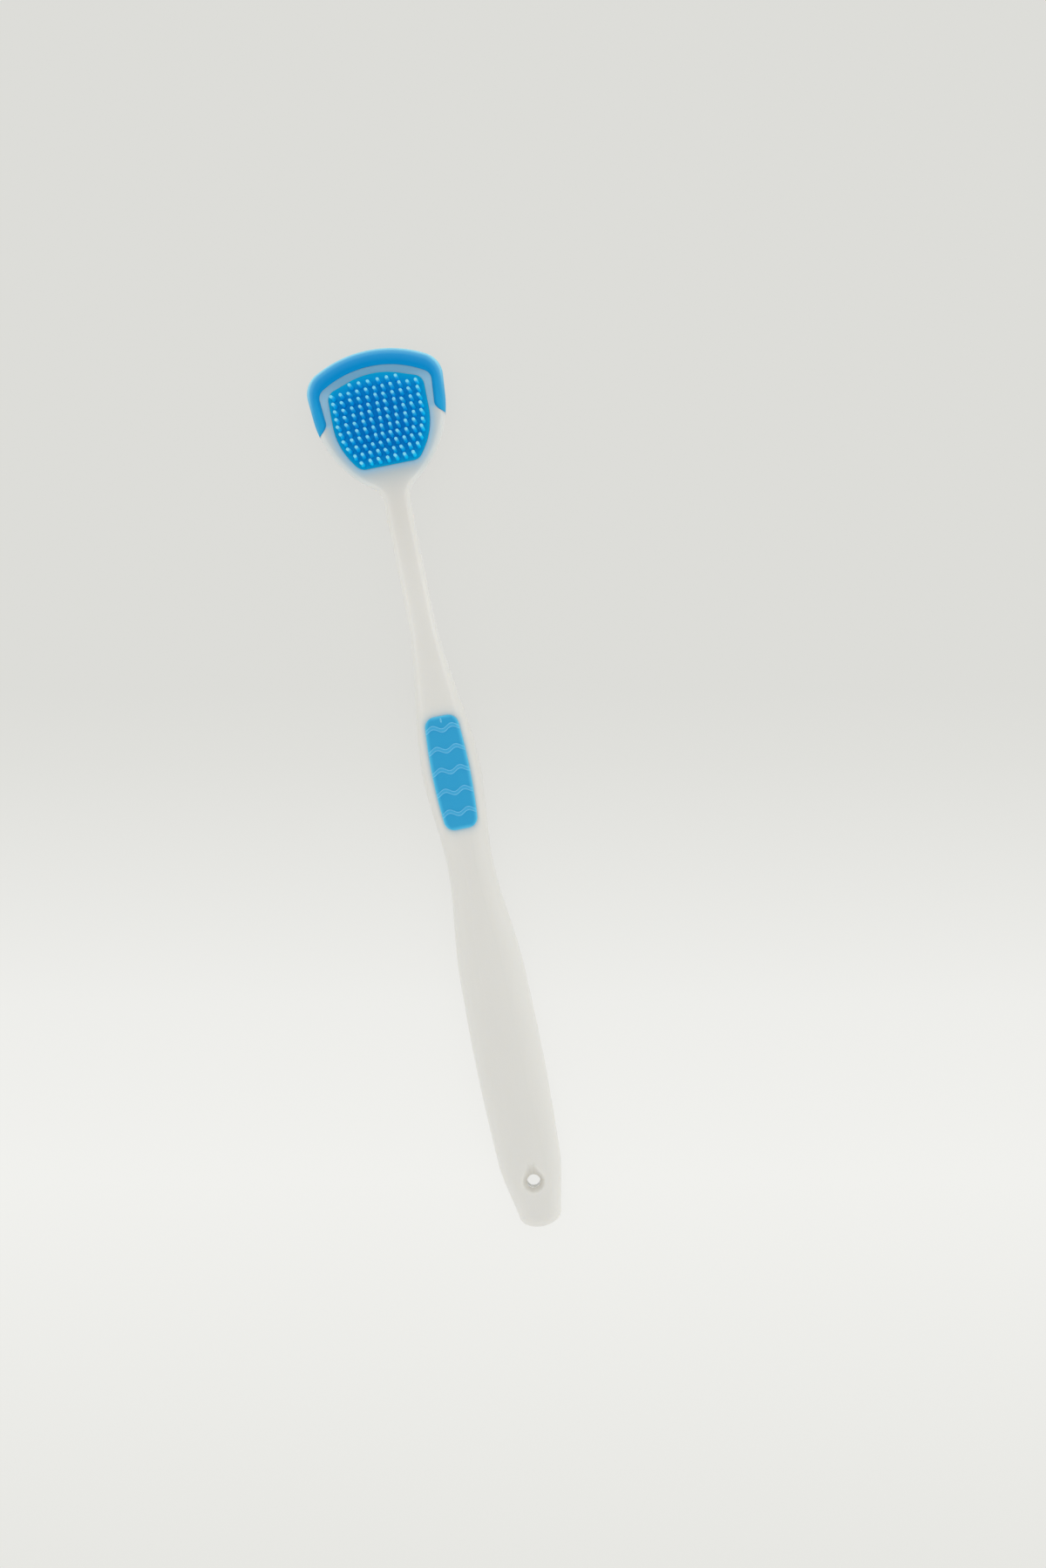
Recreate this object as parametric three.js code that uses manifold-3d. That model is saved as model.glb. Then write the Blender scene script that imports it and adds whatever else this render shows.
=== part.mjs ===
// A tongue brush: a white moulded handle with three soft blue mouldings bonded into it.
// Millimetres. It lies on its back: +Y runs from the hanging end to the head, +Z is the bristle side.
// "along" is a distance from the hanging end. In the tilted head, "reach" is the distance from the
// scraping edge, negative towards the handle, and "rise" the height over the middle of the plate.
import * as THREE from "three";
import { mergeVertices } from "three/addons/utils/BufferGeometryUtils.js";
import Module from "manifold-3d";

// Whole brush
const LENGTH = 180;
const HEAD_TILT = THREE.MathUtils.degToRad(10);
const TABLE_GAP = 0.03; // the scraping edge stops this far above the table
const BOND_GAP = 0.2; // room between a soft moulding and its seat
const SEAM_SHARE = 0.45; // height of the mould's parting line in the thickness
const CUT_ROOM = 1; // a cut reaches this far past the surface it opens
const LEAST_STEP = 0.02; // least width of a step in a section

// Handle: the spans between its sections, counted from the hanging end
const TAIL_ROUND = 2.6;
const FLARE_SPAN = 11.9;
const PALM_SPAN = 21.5;
const SHOULDER_SPAN = 16;
const WAIST_SPAN = 23;
const THUMB_SPAN = 18.15;
const NECK_SPAN = 32.85;

// Handle: widths, thicknesses and how high the back of each section lies
const TAIL_WIDTH = 8.5;
const TAIL_THICKNESS = 4.2;
const FLARE_WIDTH = 12.7;
const FLARE_THICKNESS = 5;
const PALM_WIDTH = 13.75;
const PALM_THICKNESS = 6.6;
const SHOULDER_WIDTH = 13.2;
const SHOULDER_THICKNESS = 7;
const WAIST_WIDTH = 9.2;
const WAIST_THICKNESS = 7.4;
const WAIST_LIFT = 0.9;
const THUMB_WIDTH = 11.7;
const THUMB_THICKNESS = 8.4;
const THUMB_LIFT = 2;
const NECK_WIDTH = 5.3;
const NECK_THICKNESS = 4.6;
const NECK_LIFT = 4.2;

// Handle: how far its rounded edges reach in over the front and the back
const TAIL_EDGE = 2.4;
const PALM_FRONT_EDGE = 4.4;
const PALM_BACK_EDGE = 3;
const THUMB_FRONT_EDGE = 2.5;
const THUMB_BACK_EDGE = 3.8;
const NECK_EDGE = 0.95;
const EDGE_LIMIT = 0.85; // largest share of the half width that an edge takes

// Hanging hole: a bore that opens to a teardrop on the front
const HOLE_AT = 9.5;
const HOLE_DIAMETER = 2.7;
const TEARDROP_RADIUS = 2.3;
const TEARDROP_POINT = 4.7; // from the bore's axis to where the teardrop's sides would meet
const TEARDROP_REACH = 3.65; // from the bore's axis to the teardrop's blunt end
const TEARDROP_DEPTH = 1.1;
const HOLE_BACK_CHAMFER = 0.5;

// Head plate, a shield seen from the front
const HEAD_LENGTH = 30;
const HEAD_WIDTH = 28.4;
const HEAD_THICKNESS = 3;
const HEAD_EDGE = 1.2;
const CROWN_RADIUS = 23;
const CROWN_SLOPE = THREE.MathUtils.degToRad(30);
const CROWN_CORNER_RADIUS = 5.2;
const SIDE_SLOPE = THREE.MathUtils.degToRad(4.7);
const BOWL_SLOPE = THREE.MathUtils.degToRad(53);
const BOWL_RADIUS = 22.5;
const NECK_FILLET = 4.6;
const NECK_BEND_BELOW = 7; // the neck bends into the plate from this far below the neck's corner
const NECK_BEND_ABOVE = 4.8; // up to this far above it

// Scraper lip round the head
const LIP_LENGTH = 16.2; // from the scraping edge down to its two ends
const LIP_CROWN_WIDTH = 3.9;
const LIP_SIDE_WIDTH = 2.4;
const LIP_INNER_RADIUS = 2.3;
const LIP_END_TAPER = 2;
const LIP_END_WIDTH = 0.45;
const LIP_CREST = 1.8; // from the scraping edge in to the top of the lip
const LIP_CREST_SHARE = 0.75; // where the lip is narrow, its top lies at this share of the width
const LIP_RISE = 0.4; // height of the lip over the plate
const LIP_INNER_RISE = 0.08; // height of its inner edge over the plate
const LIP_STEP = 0.1; // the lip stands out this far past the white edge
const FLANGE_THICKNESS = 1.1; // edge of the plate that the lip wraps
const FLANGE_INSET = 1.2;

// Bristle pad and its nubs
const PAD_LAND_CROWN = 1.55; // white land between the lip and the pad
const PAD_LAND_SIDE = 2;
const PAD_FOOT_MARGIN = 5; // from the neck's corner up to the pad
const PAD_FOOT_WIDTH = 11.8;
const PAD_FOOT_RADIUS = 2.2;
const PAD_FOOT_SLOPE = THREE.MathUtils.degToRad(36.5);
const PAD_SIDE_RADIUS = 15;
const PAD_CORNER_RADIUS = 2.3;
const PAD_CROWN_RADIUS = 15;
const PAD_CROWN_SLOPE = THREE.MathUtils.degToRad(20);
const PAD_DEPTH = 1;
const PAD_RISE = 0.2;
const NUB_ROW_COUNTS = [6, 11, 11, 11, 11, 11, 11, 11, 10, 9, 7];
const NUB_LENGTH = 2.4;
const NUB_BASE_RADIUS = 0.4;
const NUB_TIP_RADIUS = 0.35;
const NUB_ROOT = 0.3; // part of a nub inside the pad
const NUB_DOME = 0.28; // height of a nub's rounded tip
const NUB_FIRST_ROW = 2.4; // from the pad's crown in to the first row
const NUB_CROWN_MARGIN = 1.65; // room from a nub to the pad's edge, towards the crown
const NUB_SIDE_MARGIN = 1.3;
const NUB_FOOT_MARGIN = 0.85;
const NUB_SPLAY = THREE.MathUtils.degToRad(4); // lean of the outermost nubs

// Thumb grip and its waves
const GRIP_LENGTH = 22.8;
const GRIP_WIDTH = 7.56;
const GRIP_TAPER = 0.6; // each side draws in this much towards the ends
const GRIP_CORNER = 1.9;
const GRIP_DEPTH = 1.1;
const GRIP_EDGE_RISE = 0.06; // height of the grip's edges over the handle
const GRIP_DOME = 0.44; // height of its middle over its edges
const WAVE_COUNT = 5;
const WAVE_PITCH = 4.13;
const WAVE_LENGTH = 3.8;
const WAVE_SWING = 0.33;
const WAVE_WIDTH = 0.95;
const WAVE_HEIGHT = 0.22;
const WAVE_ROOT = 0.4; // part of a wave inside the grip
const WAVE_INSET = 0.05; // the waves end this far inside the grip's sides

// Fineness of the facets
const ARC_STEP = THREE.MathUtils.degToRad(7);
const RING_TURN = THREE.MathUtils.degToRad(12);
const CROWN_SPAN = 4; // length of the crown that gets the closest rings
const EDGE_STEPS = 5;
const HANDLE_STEP = 3;
const HEAD_STEP = 1;
const LIP_STATIONS = 72;
const NOSE_STEPS = 4;
const NUB_SIDES = 6;
const NUB_TIP_STEPS = 2;
const HOLE_SIDES = 28;
const GRIP_STEP = 1.6;
const GRIP_CORNER_STEPS = 5;
const GRIP_ACROSS_STEPS = 8;
const WAVE_STEPS = 26;
const WAVE_ROUND_STEPS = 4;
const SAME_PLACE = 1e-4; // points this close are one

const wasm = await Module();
wasm.setup();

// A solid from a geometry, so that it can be joined and cut
function solidFrom(geometry) {
  const bare = geometry.clone();
  bare.deleteAttribute("normal");
  bare.deleteAttribute("uv");
  const merged = mergeVertices(bare, SAME_PLACE);
  return new wasm.Manifold(
    new wasm.Mesh({
      numProp: 3,
      vertProperties: new Float32Array(merged.attributes.position.array),
      triVerts: new Uint32Array(merged.index.array),
    }),
  );
}

function geometryFrom(solid) {
  const mesh = solid.getMesh();
  const geometry = new THREE.BufferGeometry();
  geometry.setAttribute("position", new THREE.BufferAttribute(mesh.vertProperties, 3));
  geometry.setIndex(new THREE.BufferAttribute(mesh.triVerts, 1));
  geometry.computeVertexNormals();
  return geometry;
}

// The triangles that close a flat ring of points
function capTriangles(ring) {
  const across = ring[1].clone().sub(ring[0]).normalize();
  const normal = new THREE.Vector3();
  ring.forEach((point, i) => normal.add(point.clone().cross(ring[(i + 1) % ring.length])));
  const up = normal.normalize().clone().cross(across);
  const flat = ring.map((point) => new THREE.Vector2(point.dot(across), point.dot(up)));
  return THREE.ShapeUtils.triangulateShape(flat, []);
}

// A closed skin over rings that all have the same number of points
function loft(rings) {
  const size = rings[0].length;
  const last = (rings.length - 1) * size;
  const triangles = [];
  for (let r = 0; r < rings.length - 1; r++) {
    for (let i = 0; i < size; i++) {
      const a = r * size + i;
      const b = r * size + ((i + 1) % size);
      triangles.push([a, b, b + size], [a, b + size, a + size]);
    }
  }
  capTriangles(rings[0]).forEach(([a, b, c]) => triangles.push([a, c, b]));
  capTriangles(rings.at(-1)).forEach(([a, b, c]) => triangles.push([last + a, last + b, last + c]));
  const points = rings.flat();
  const volume = triangles.reduce(
    (sum, [a, b, c]) => sum + points[a].dot(points[b].clone().cross(points[c])),
    0,
  );
  const facing = volume > 0 ? triangles : triangles.map(([a, b, c]) => [a, c, b]);
  const geometry = new THREE.BufferGeometry().setFromPoints(points);
  geometry.setIndex(facing.flat());
  return geometry;
}

// A smooth curve through stations [place, value] that doesn't overshoot between them
function smoothCurve(stations) {
  const last = stations.length - 1;
  const rise = (i) => (stations[i + 1][1] - stations[i][1]) / (stations[i + 1][0] - stations[i][0]);
  const slopes = stations.map((_, i) => {
    if (i === 0 || i === last) return rise(Math.min(i, last - 1));
    const before = rise(i - 1);
    const after = rise(i);
    return before * after > 0 ? (2 * before * after) / (before + after) : 0;
  });
  return (place) => {
    let i = 0;
    while (i < last - 1 && place > stations[i + 1][0]) i++;
    const span = stations[i + 1][0] - stations[i][0];
    const t = THREE.MathUtils.clamp((place - stations[i][0]) / span, 0, 1);
    const bend = t * t * (3 - 2 * t);
    const leave = t * (1 - t) * (1 - t) * span * slopes[i];
    const arrive = t * t * (t - 1) * span * slopes[i + 1];
    return stations[i][1] * (1 - bend) + stations[i + 1][1] * bend + leave + arrive;
  };
}

// A closed outline through corners [x, y, radius], each rounded as far as its two sides allow
function roundedOutline(corners) {
  const spots = corners.map(([x, y]) => new THREE.Vector2(x, y));
  const next = (i) => (i + 1) % spots.length;
  const previous = (i) => (i + spots.length - 1) % spots.length;
  const towards = (i, j) => spots[j].clone().sub(spots[i]).normalize();
  const halfAngles = spots.map((_, i) => Math.acos(towards(i, previous(i)).dot(towards(i, next(i)))) / 2);
  const wanted = corners.map(([, , radius], i) => radius / Math.tan(halfAngles[i]));
  const fit = (i, j) => Math.min(1, spots[i].distanceTo(spots[j]) / Math.max(wanted[i] + wanted[j], 1e-9));
  const points = [];
  spots.forEach((corner, i) => {
    const tangent = wanted[i] * Math.min(fit(i, next(i)), fit(i, previous(i)));
    const back = towards(i, previous(i));
    const ahead = towards(i, next(i));
    const middle = back.clone().add(ahead).normalize();
    const centre = corner.clone().addScaledVector(middle, tangent / Math.cos(halfAngles[i]));
    const arm = corner.clone().addScaledVector(back, tangent).sub(centre);
    const turn = (Math.PI - 2 * halfAngles[i]) * Math.sign(ahead.cross(back));
    const steps = tangent > 0 ? Math.max(2, Math.ceil(Math.abs(turn) / ARC_STEP)) : 0;
    for (let k = 0; k <= steps; k++) {
      const spoke = arm.clone().rotateAround(new THREE.Vector2(), steps ? (turn * k) / steps : 0);
      points.push(centre.clone().add(spoke));
    }
  });
  return points;
}

// Right-hand corners from the foot up, a corner on the middle line last, made into a whole outline
function mirroredOutline(rightCorners) {
  const leftCorners = rightCorners.slice(0, -1).map(([x, y, radius]) => [-x, y, radius]);
  return roundedOutline([...rightCorners, ...leftCorners.reverse()]);
}

// Half the width of an outline at a place along it
function halfWidthAt(outline, place) {
  let half = 0;
  outline.forEach((from, i) => {
    const to = outline[(i + 1) % outline.length];
    if ((from.y - place) * (to.y - place) > 0 || from.y === to.y) return;
    half = Math.max(half, THREE.MathUtils.lerp(from.x, to.x, (place - from.y) / (to.y - from.y)));
  });
  return half;
}

// An outline moved outwards by the same distance all round
function grownOutline(outline, distance) {
  return outline.map((point, i) => {
    const before = outline.at(i - 1);
    const after = outline[(i + 1) % outline.length];
    const way = after.clone().sub(before).normalize();
    return new THREE.Vector2(point.x + way.y * distance, point.y - way.x * distance);
  });
}

// Where two lines meet, each given by a point and its lean from the brush's length
function meetingPoint([x1, y1], lean1, [x2, y2], lean2) {
  const k1 = Math.tan(lean1);
  const k2 = Math.tan(lean2);
  const y = (x2 - x1 + k1 * y1 - k2 * y2) / (k1 - k2);
  return [x1 + k1 * (y - y1), y];
}

// How far it is from a point, in a direction, to the nearest side of an outline
function distanceTo(outline, point, way) {
  let nearest = Infinity;
  outline.forEach((from, i) => {
    const side = outline[(i + 1) % outline.length].clone().sub(from);
    const gap = from.clone().sub(point);
    const lean = way.cross(side);
    const share = gap.cross(way) / lean;
    const distance = gap.cross(side) / lean;
    if (share >= 0 && share <= 1 && distance > 0) nearest = Math.min(nearest, distance);
  });
  return nearest;
}

// Head outline
const crownPeak = CROWN_RADIUS * (1 / Math.cos(CROWN_SLOPE) - 1);
const crownCorner = [HEAD_WIDTH / 2, crownPeak - (HEAD_WIDTH / 2) * Math.tan(CROWN_SLOPE)];
const neckCorner = [NECK_WIDTH / 2, -HEAD_LENGTH];
const bowlCorner = meetingPoint(neckCorner, BOWL_SLOPE, crownCorner, SIDE_SLOPE);
const headOutline = mirroredOutline([
  [NECK_WIDTH / 2, -HEAD_LENGTH - NECK_BEND_BELOW, 0],
  [...neckCorner, NECK_FILLET],
  [...bowlCorner, BOWL_RADIUS],
  [...crownCorner, CROWN_CORNER_RADIUS],
  [0, crownPeak, CROWN_RADIUS],
]);

// Inner edge of the lip: the crown and the sides moved in by the lip's width
const lipPeak = (CROWN_RADIUS - LIP_CROWN_WIDTH) * (1 / Math.cos(CROWN_SLOPE) - 1) - LIP_CROWN_WIDTH;
const sideDraw = (HEAD_LENGTH + crownCorner[1]) * Math.tan(SIDE_SLOPE);
const lipSideFoot = [crownCorner[0] - LIP_SIDE_WIDTH / Math.cos(SIDE_SLOPE) - sideDraw, -HEAD_LENGTH];
const lipCorner = meetingPoint([0, lipPeak], CROWN_SLOPE - Math.PI / 2, lipSideFoot, SIDE_SLOPE);
const lipInnerOutline = mirroredOutline([
  [...lipSideFoot, 0],
  [...lipCorner, LIP_INNER_RADIUS],
  [0, lipPeak, CROWN_RADIUS - LIP_CROWN_WIDTH],
]);

// The head's own frame: at the scraping edge, in the middle of the plate, tilted down
const head = new THREE.Group();
const plateHalf = HEAD_THICKNESS / 2;
const tipHeight = TABLE_GAP + plateHalf * Math.cos(HEAD_TILT);
head.position.set(0, LENGTH, tipHeight);
head.rotation.x = -HEAD_TILT;
head.updateMatrix();

// Handle sections
const tailAt = TAIL_ROUND;
const flareAt = tailAt + FLARE_SPAN;
const palmAt = flareAt + PALM_SPAN;
const shoulderAt = palmAt + SHOULDER_SPAN;
const waistAt = shoulderAt + WAIST_SPAN;
const thumbAt = waistAt + THUMB_SPAN;
const neckAt = thumbAt + NECK_SPAN;
const headFootAt = LENGTH - HEAD_LENGTH * Math.cos(HEAD_TILT);
const neckEndAt = headFootAt - NECK_BEND_BELOW;
const plateAt = headFootAt + NECK_BEND_ABOVE;
const plateMiddle = (along) => tipHeight + (LENGTH - along) * Math.tan(HEAD_TILT);
const plateUpright = HEAD_THICKNESS / Math.cos(HEAD_TILT); // plate thickness measured straight up

const widthAt = smoothCurve([
  [tailAt, TAIL_WIDTH],
  [flareAt, FLARE_WIDTH],
  [palmAt, PALM_WIDTH],
  [shoulderAt, SHOULDER_WIDTH],
  [waistAt, WAIST_WIDTH],
  [thumbAt, THUMB_WIDTH],
  [neckAt, NECK_WIDTH],
  [neckEndAt, NECK_WIDTH],
]);
const thicknessAt = smoothCurve([
  [tailAt, TAIL_THICKNESS],
  [flareAt, FLARE_THICKNESS],
  [palmAt, PALM_THICKNESS],
  [shoulderAt, SHOULDER_THICKNESS],
  [waistAt, WAIST_THICKNESS],
  [thumbAt, THUMB_THICKNESS],
  [neckAt, NECK_THICKNESS],
  [neckEndAt, NECK_THICKNESS],
  [plateAt, plateUpright],
  [LENGTH, plateUpright],
]);
const backAt = smoothCurve([
  [tailAt, 0],
  [shoulderAt, 0],
  [waistAt, WAIST_LIFT],
  [thumbAt, THUMB_LIFT],
  [neckAt, NECK_LIFT],
  [neckEndAt, plateMiddle(neckEndAt) - NECK_THICKNESS / 2],
  [plateAt, plateMiddle(plateAt) - plateUpright / 2],
  [LENGTH, plateMiddle(LENGTH) - plateUpright / 2],
]);
const frontEdgeAt = smoothCurve([
  [tailAt, TAIL_EDGE],
  [palmAt, PALM_FRONT_EDGE],
  [thumbAt, THUMB_FRONT_EDGE],
  [neckAt, NECK_EDGE],
  [plateAt, HEAD_EDGE],
]);
const backEdgeAt = smoothCurve([
  [tailAt, TAIL_EDGE],
  [palmAt, PALM_BACK_EDGE],
  [thumbAt, THUMB_BACK_EDGE],
  [neckAt, NECK_EDGE],
  [plateAt, HEAD_EDGE],
]);
const frontAt = (along) => backAt(along) + thicknessAt(along);

// How full a rounded end is at a distance from it, from 0 at the end to 1
function endFullness(distance, length) {
  const left = 1 - THREE.MathUtils.clamp(distance / length, 0, 1);
  return Math.sqrt(1 - left * left);
}

function handleHalfWidth(along) {
  const reach = (along - LENGTH) / Math.cos(HEAD_TILT);
  if (reach < -HEAD_LENGTH - NECK_FILLET) return (widthAt(along) / 2) * endFullness(along, TAIL_ROUND);
  const flare = THREE.MathUtils.smoothstep(reach, -HEAD_LENGTH, -LIP_LENGTH);
  return halfWidthAt(headOutline, reach) - LIP_STEP * flare;
}

// One section across the handle: a front and a back flat joined by rounded edges at the seam
function handleRing(along) {
  const half = handleHalfWidth(along);
  const middle = backAt(along) + SEAM_SHARE * thicknessAt(along);
  const fullness = endFullness(along, TAIL_ROUND / 2);
  const depths = [(frontAt(along) - middle) * fullness, (middle - backAt(along)) * fullness];
  const edges = [frontEdgeAt(along), backEdgeAt(along)].map((edge) => Math.min(edge, EDGE_LIMIT * half));
  const ring = [];
  for (let quarter = 0; quarter < 4; quarter++) {
    const side = quarter < 2 ? 0 : 1;
    const flat = (half - edges[side]) * (quarter === 0 || quarter === 3 ? 1 : -1);
    const steps = quarter % 2 ? EDGE_STEPS - 1 : EDGE_STEPS;
    for (let k = 0; k <= steps; k++) {
      const angle = (quarter + k / EDGE_STEPS) * (Math.PI / 2);
      const x = flat + edges[side] * Math.cos(angle);
      ring.push(new THREE.Vector3(x, along, middle + depths[side] * Math.sin(angle)));
    }
  }
  return ring;
}

// Places along the handle: close together round the tail and in the head, closest at the crown
function handlePlaces() {
  const places = [];
  for (let turn = RING_TURN / 3; turn < Math.PI / 2; turn += RING_TURN) {
    places.push(TAIL_ROUND * (1 - Math.cos(turn)));
  }
  const spread = (from, to, step) => {
    const count = Math.ceil((to - from) / step);
    for (let k = 0; k < count; k++) places.push(from + ((to - from) * k) / count);
  };
  const crownAt = LENGTH - CROWN_SPAN;
  spread(TAIL_ROUND, neckEndAt, HANDLE_STEP);
  spread(neckEndAt, crownAt, HEAD_STEP);
  for (let turn = 0; turn <= Math.PI / 2 - RING_TURN / 2; turn += RING_TURN) {
    places.push(crownAt + CROWN_SPAN * Math.sin(turn));
  }
  return places;
}

// The teardrop's distance from the bore's axis, at an angle from the direction of its blunt end
function teardropRadius(angle) {
  const touch = Math.acos(TEARDROP_RADIUS / TEARDROP_POINT);
  const side = TEARDROP_RADIUS / Math.cos(Math.max(0, touch - Math.abs(angle)));
  return Math.abs(angle) < touch ? Math.min(side, TEARDROP_REACH / Math.cos(angle)) : side;
}

// The space of the hanging hole, from above the front to below the back
function hangingHole() {
  const bore = HOLE_DIAMETER / 2;
  const front = frontAt(HOLE_AT);
  const slope = 1 / TEARDROP_DEPTH;
  const ring = (height, radiusAt) => {
    const points = [];
    for (let k = 0; k < HOLE_SIDES; k++) {
      const angle = ((k + 0.5) / HOLE_SIDES - 0.5) * 2 * Math.PI;
      const radius = radiusAt(angle);
      points.push(new THREE.Vector3(radius * Math.sin(angle), HOLE_AT + radius * Math.cos(angle), height));
    }
    return points;
  };
  const funnel = (over) => (angle) => bore + (teardropRadius(angle) - bore) * (1 + over * slope);
  const round = (radius) => () => radius;
  return loft([
    ring(front + CUT_ROOM, funnel(CUT_ROOM)),
    ring(front - TEARDROP_DEPTH, round(bore)),
    ring(HOLE_BACK_CHAMFER, round(bore)),
    ring(-HOLE_BACK_CHAMFER, round(bore + 2 * HOLE_BACK_CHAMFER)),
  ]);
}

// The lip's route along the scraping edge, end to end, with its width at each station
function lipStations() {
  const half = halfWidthAt(headOutline, -LIP_LENGTH);
  const upper = headOutline.filter((point) => point.y > -LIP_LENGTH);
  const route = new THREE.CurvePath();
  const stops = [new THREE.Vector2(half, -LIP_LENGTH), ...upper, new THREE.Vector2(-half, -LIP_LENGTH)];
  for (let i = 0; i < stops.length - 1; i++) {
    if (stops[i].distanceTo(stops[i + 1]) > 1e-6) route.add(new THREE.LineCurve(stops[i], stops[i + 1]));
  }
  const total = route.getLength();
  const points = route.getSpacedPoints(LIP_STATIONS);
  return points.map((point, i) => {
    const before = points[Math.max(0, i - 1)];
    const after = points[Math.min(LIP_STATIONS, i + 1)];
    const way = after.clone().sub(before).normalize();
    const inward = new THREE.Vector2(-way.y, way.x);
    const fromEnd = (Math.min(i, LIP_STATIONS - i) / LIP_STATIONS) * total;
    const taper = Math.sin((Math.PI / 2) * Math.min(1, fromEnd / LIP_END_TAPER));
    const full = distanceTo(lipInnerOutline, point, inward);
    return { point, inward, way, width: Math.max(LIP_END_WIDTH, full * taper) };
  });
}

// The lip's section [in from the edge, rise]: a round nose, a crest and a slot for the plate's flange
function lipSection(width) {
  const crest = Math.min(LIP_CREST, LIP_CREST_SHARE * width);
  const rise = LIP_RISE * Math.min(1, width / LIP_SIDE_WIDTH);
  const top = plateHalf + rise;
  const slotHalf = FLANGE_THICKNESS / 2 + BOND_GAP;
  const slotEnd = Math.min(FLANGE_INSET - BOND_GAP, width - LEAST_STEP);
  const nose = (step, depth) => {
    const turn = ((Math.PI / 2) * step) / NOSE_STEPS;
    return [crest * (1 - Math.cos(turn)), depth * Math.sin(turn)];
  };
  const steps = Array.from({ length: NOSE_STEPS }, (_, k) => k + 1);
  return [
    nose(0, top),
    ...steps.map((step) => nose(step, top)),
    [width, plateHalf + Math.min(LIP_INNER_RISE, rise)],
    [width, slotHalf],
    [slotEnd, slotHalf],
    [slotEnd, -slotHalf],
    [width, -slotHalf],
    [width, -plateHalf],
    ...steps.reverse().map((step) => nose(step, -plateHalf)),
  ];
}

// The seat's section: everything outside the land, except the flange
function lipSeatSection(lipWidth) {
  const width = lipWidth + BOND_GAP;
  const outside = -CUT_ROOM;
  const high = plateHalf + CUT_ROOM;
  const flangeHalf = FLANGE_THICKNESS / 2;
  const flangeEnd = Math.min(FLANGE_INSET, width - LEAST_STEP);
  return [
    [outside, -high],
    [outside, high],
    [width, high],
    [width, flangeHalf],
    [flangeEnd, flangeHalf],
    [flangeEnd, -flangeHalf],
    [width, -flangeHalf],
    [width, -high],
  ];
}

// A section carried along the lip's route, its ends moved out by a distance
function alongLip(section, endRoom) {
  const stations = lipStations();
  return loft(
    stations.map(({ point, inward, way, width }, i) => {
      const start = i === 0 ? -endRoom : 0;
      const end = i === stations.length - 1 ? endRoom : 0;
      return section(width).map(([inset, rise]) => {
        const x = point.x + inward.x * inset + way.x * (start + end);
        const y = point.y + inward.y * inset + way.y * (start + end);
        return new THREE.Vector3(x, y, rise);
      });
    }),
  );
}

// Pad outline
const padCrown = -LIP_CROWN_WIDTH - PAD_LAND_CROWN;
const padFoot = -HEAD_LENGTH + PAD_FOOT_MARGIN;
const padHalf = HEAD_WIDTH / 2 - LIP_SIDE_WIDTH - PAD_LAND_SIDE;
const padPeak = padCrown + PAD_CROWN_RADIUS * (1 / Math.cos(PAD_CROWN_SLOPE) - 1);
const padKnee = meetingPoint([PAD_FOOT_WIDTH / 2, padFoot], PAD_FOOT_SLOPE, [padHalf, padFoot], 0);
const padOutline = mirroredOutline([
  [PAD_FOOT_WIDTH / 2, padFoot, PAD_FOOT_RADIUS],
  [...padKnee, PAD_SIDE_RADIUS],
  [padHalf, padPeak - padHalf * Math.tan(PAD_CROWN_SLOPE), PAD_CORNER_RADIUS],
  [0, padPeak, PAD_CROWN_RADIUS],
]);

function padSlab(outline, from, to) {
  const slab = new THREE.ExtrudeGeometry(new THREE.Shape(outline), { depth: to - from, bevelEnabled: false });
  return slab.translate(0, 0, from);
}

// The furthest from the middle line that a nub stands in a row and keeps its margin to the edge
function nubRowHalfSpan(reach) {
  const side = halfWidthAt(padOutline, reach) - NUB_SIDE_MARGIN;
  return Math.min(side, halfWidthAt(padOutline, reach + NUB_CROWN_MARGIN));
}

// All nubs in rows across the pad, those at the sides leaning out
function nubs() {
  const profile = [new THREE.Vector2(0, -NUB_ROOT), new THREE.Vector2(NUB_BASE_RADIUS, -NUB_ROOT)];
  for (let k = 0; k < NUB_TIP_STEPS; k++) {
    const turn = ((Math.PI / 2) * k) / NUB_TIP_STEPS;
    const height = NUB_LENGTH - NUB_DOME * (1 - Math.sin(turn));
    profile.push(new THREE.Vector2(NUB_TIP_RADIUS * Math.cos(turn), height));
  }
  profile.push(new THREE.Vector2(0, NUB_LENGTH));
  const nub = new THREE.LatheGeometry(profile, NUB_SIDES).rotateX(Math.PI / 2);
  const firstRow = padCrown - NUB_FIRST_ROW;
  const lastRow = padFoot + NUB_FOOT_MARGIN;
  const solids = [];
  NUB_ROW_COUNTS.forEach((count, row) => {
    const reach = THREE.MathUtils.lerp(firstRow, lastRow, row / (NUB_ROW_COUNTS.length - 1));
    const halfSpan = nubRowHalfSpan(reach);
    for (let k = 0; k < count; k++) {
      const x = THREE.MathUtils.lerp(-halfSpan, halfSpan, k / (count - 1));
      const lean = NUB_SPLAY * (x / padHalf) ** 3;
      const placed = nub.clone().rotateY(lean).translate(x, reach, plateHalf + PAD_RISE);
      solids.push(solidFrom(placed));
    }
  });
  return wasm.Manifold.union(solids);
}

// Half the grip's width: a barrel with rounded corners, grown all round for its seat
function gripHalfWidth(along, grow) {
  const fromMiddle = Math.abs(along - thumbAt);
  const fromEnd = Math.max(0, GRIP_LENGTH / 2 + grow - fromMiddle);
  const corner = GRIP_CORNER + grow;
  const share = fromMiddle / (GRIP_LENGTH / 2);
  const barrel = GRIP_WIDTH / 2 - GRIP_TAPER * share * share + grow;
  return barrel - corner * (1 - endFullness(fromEnd, corner));
}

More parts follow.
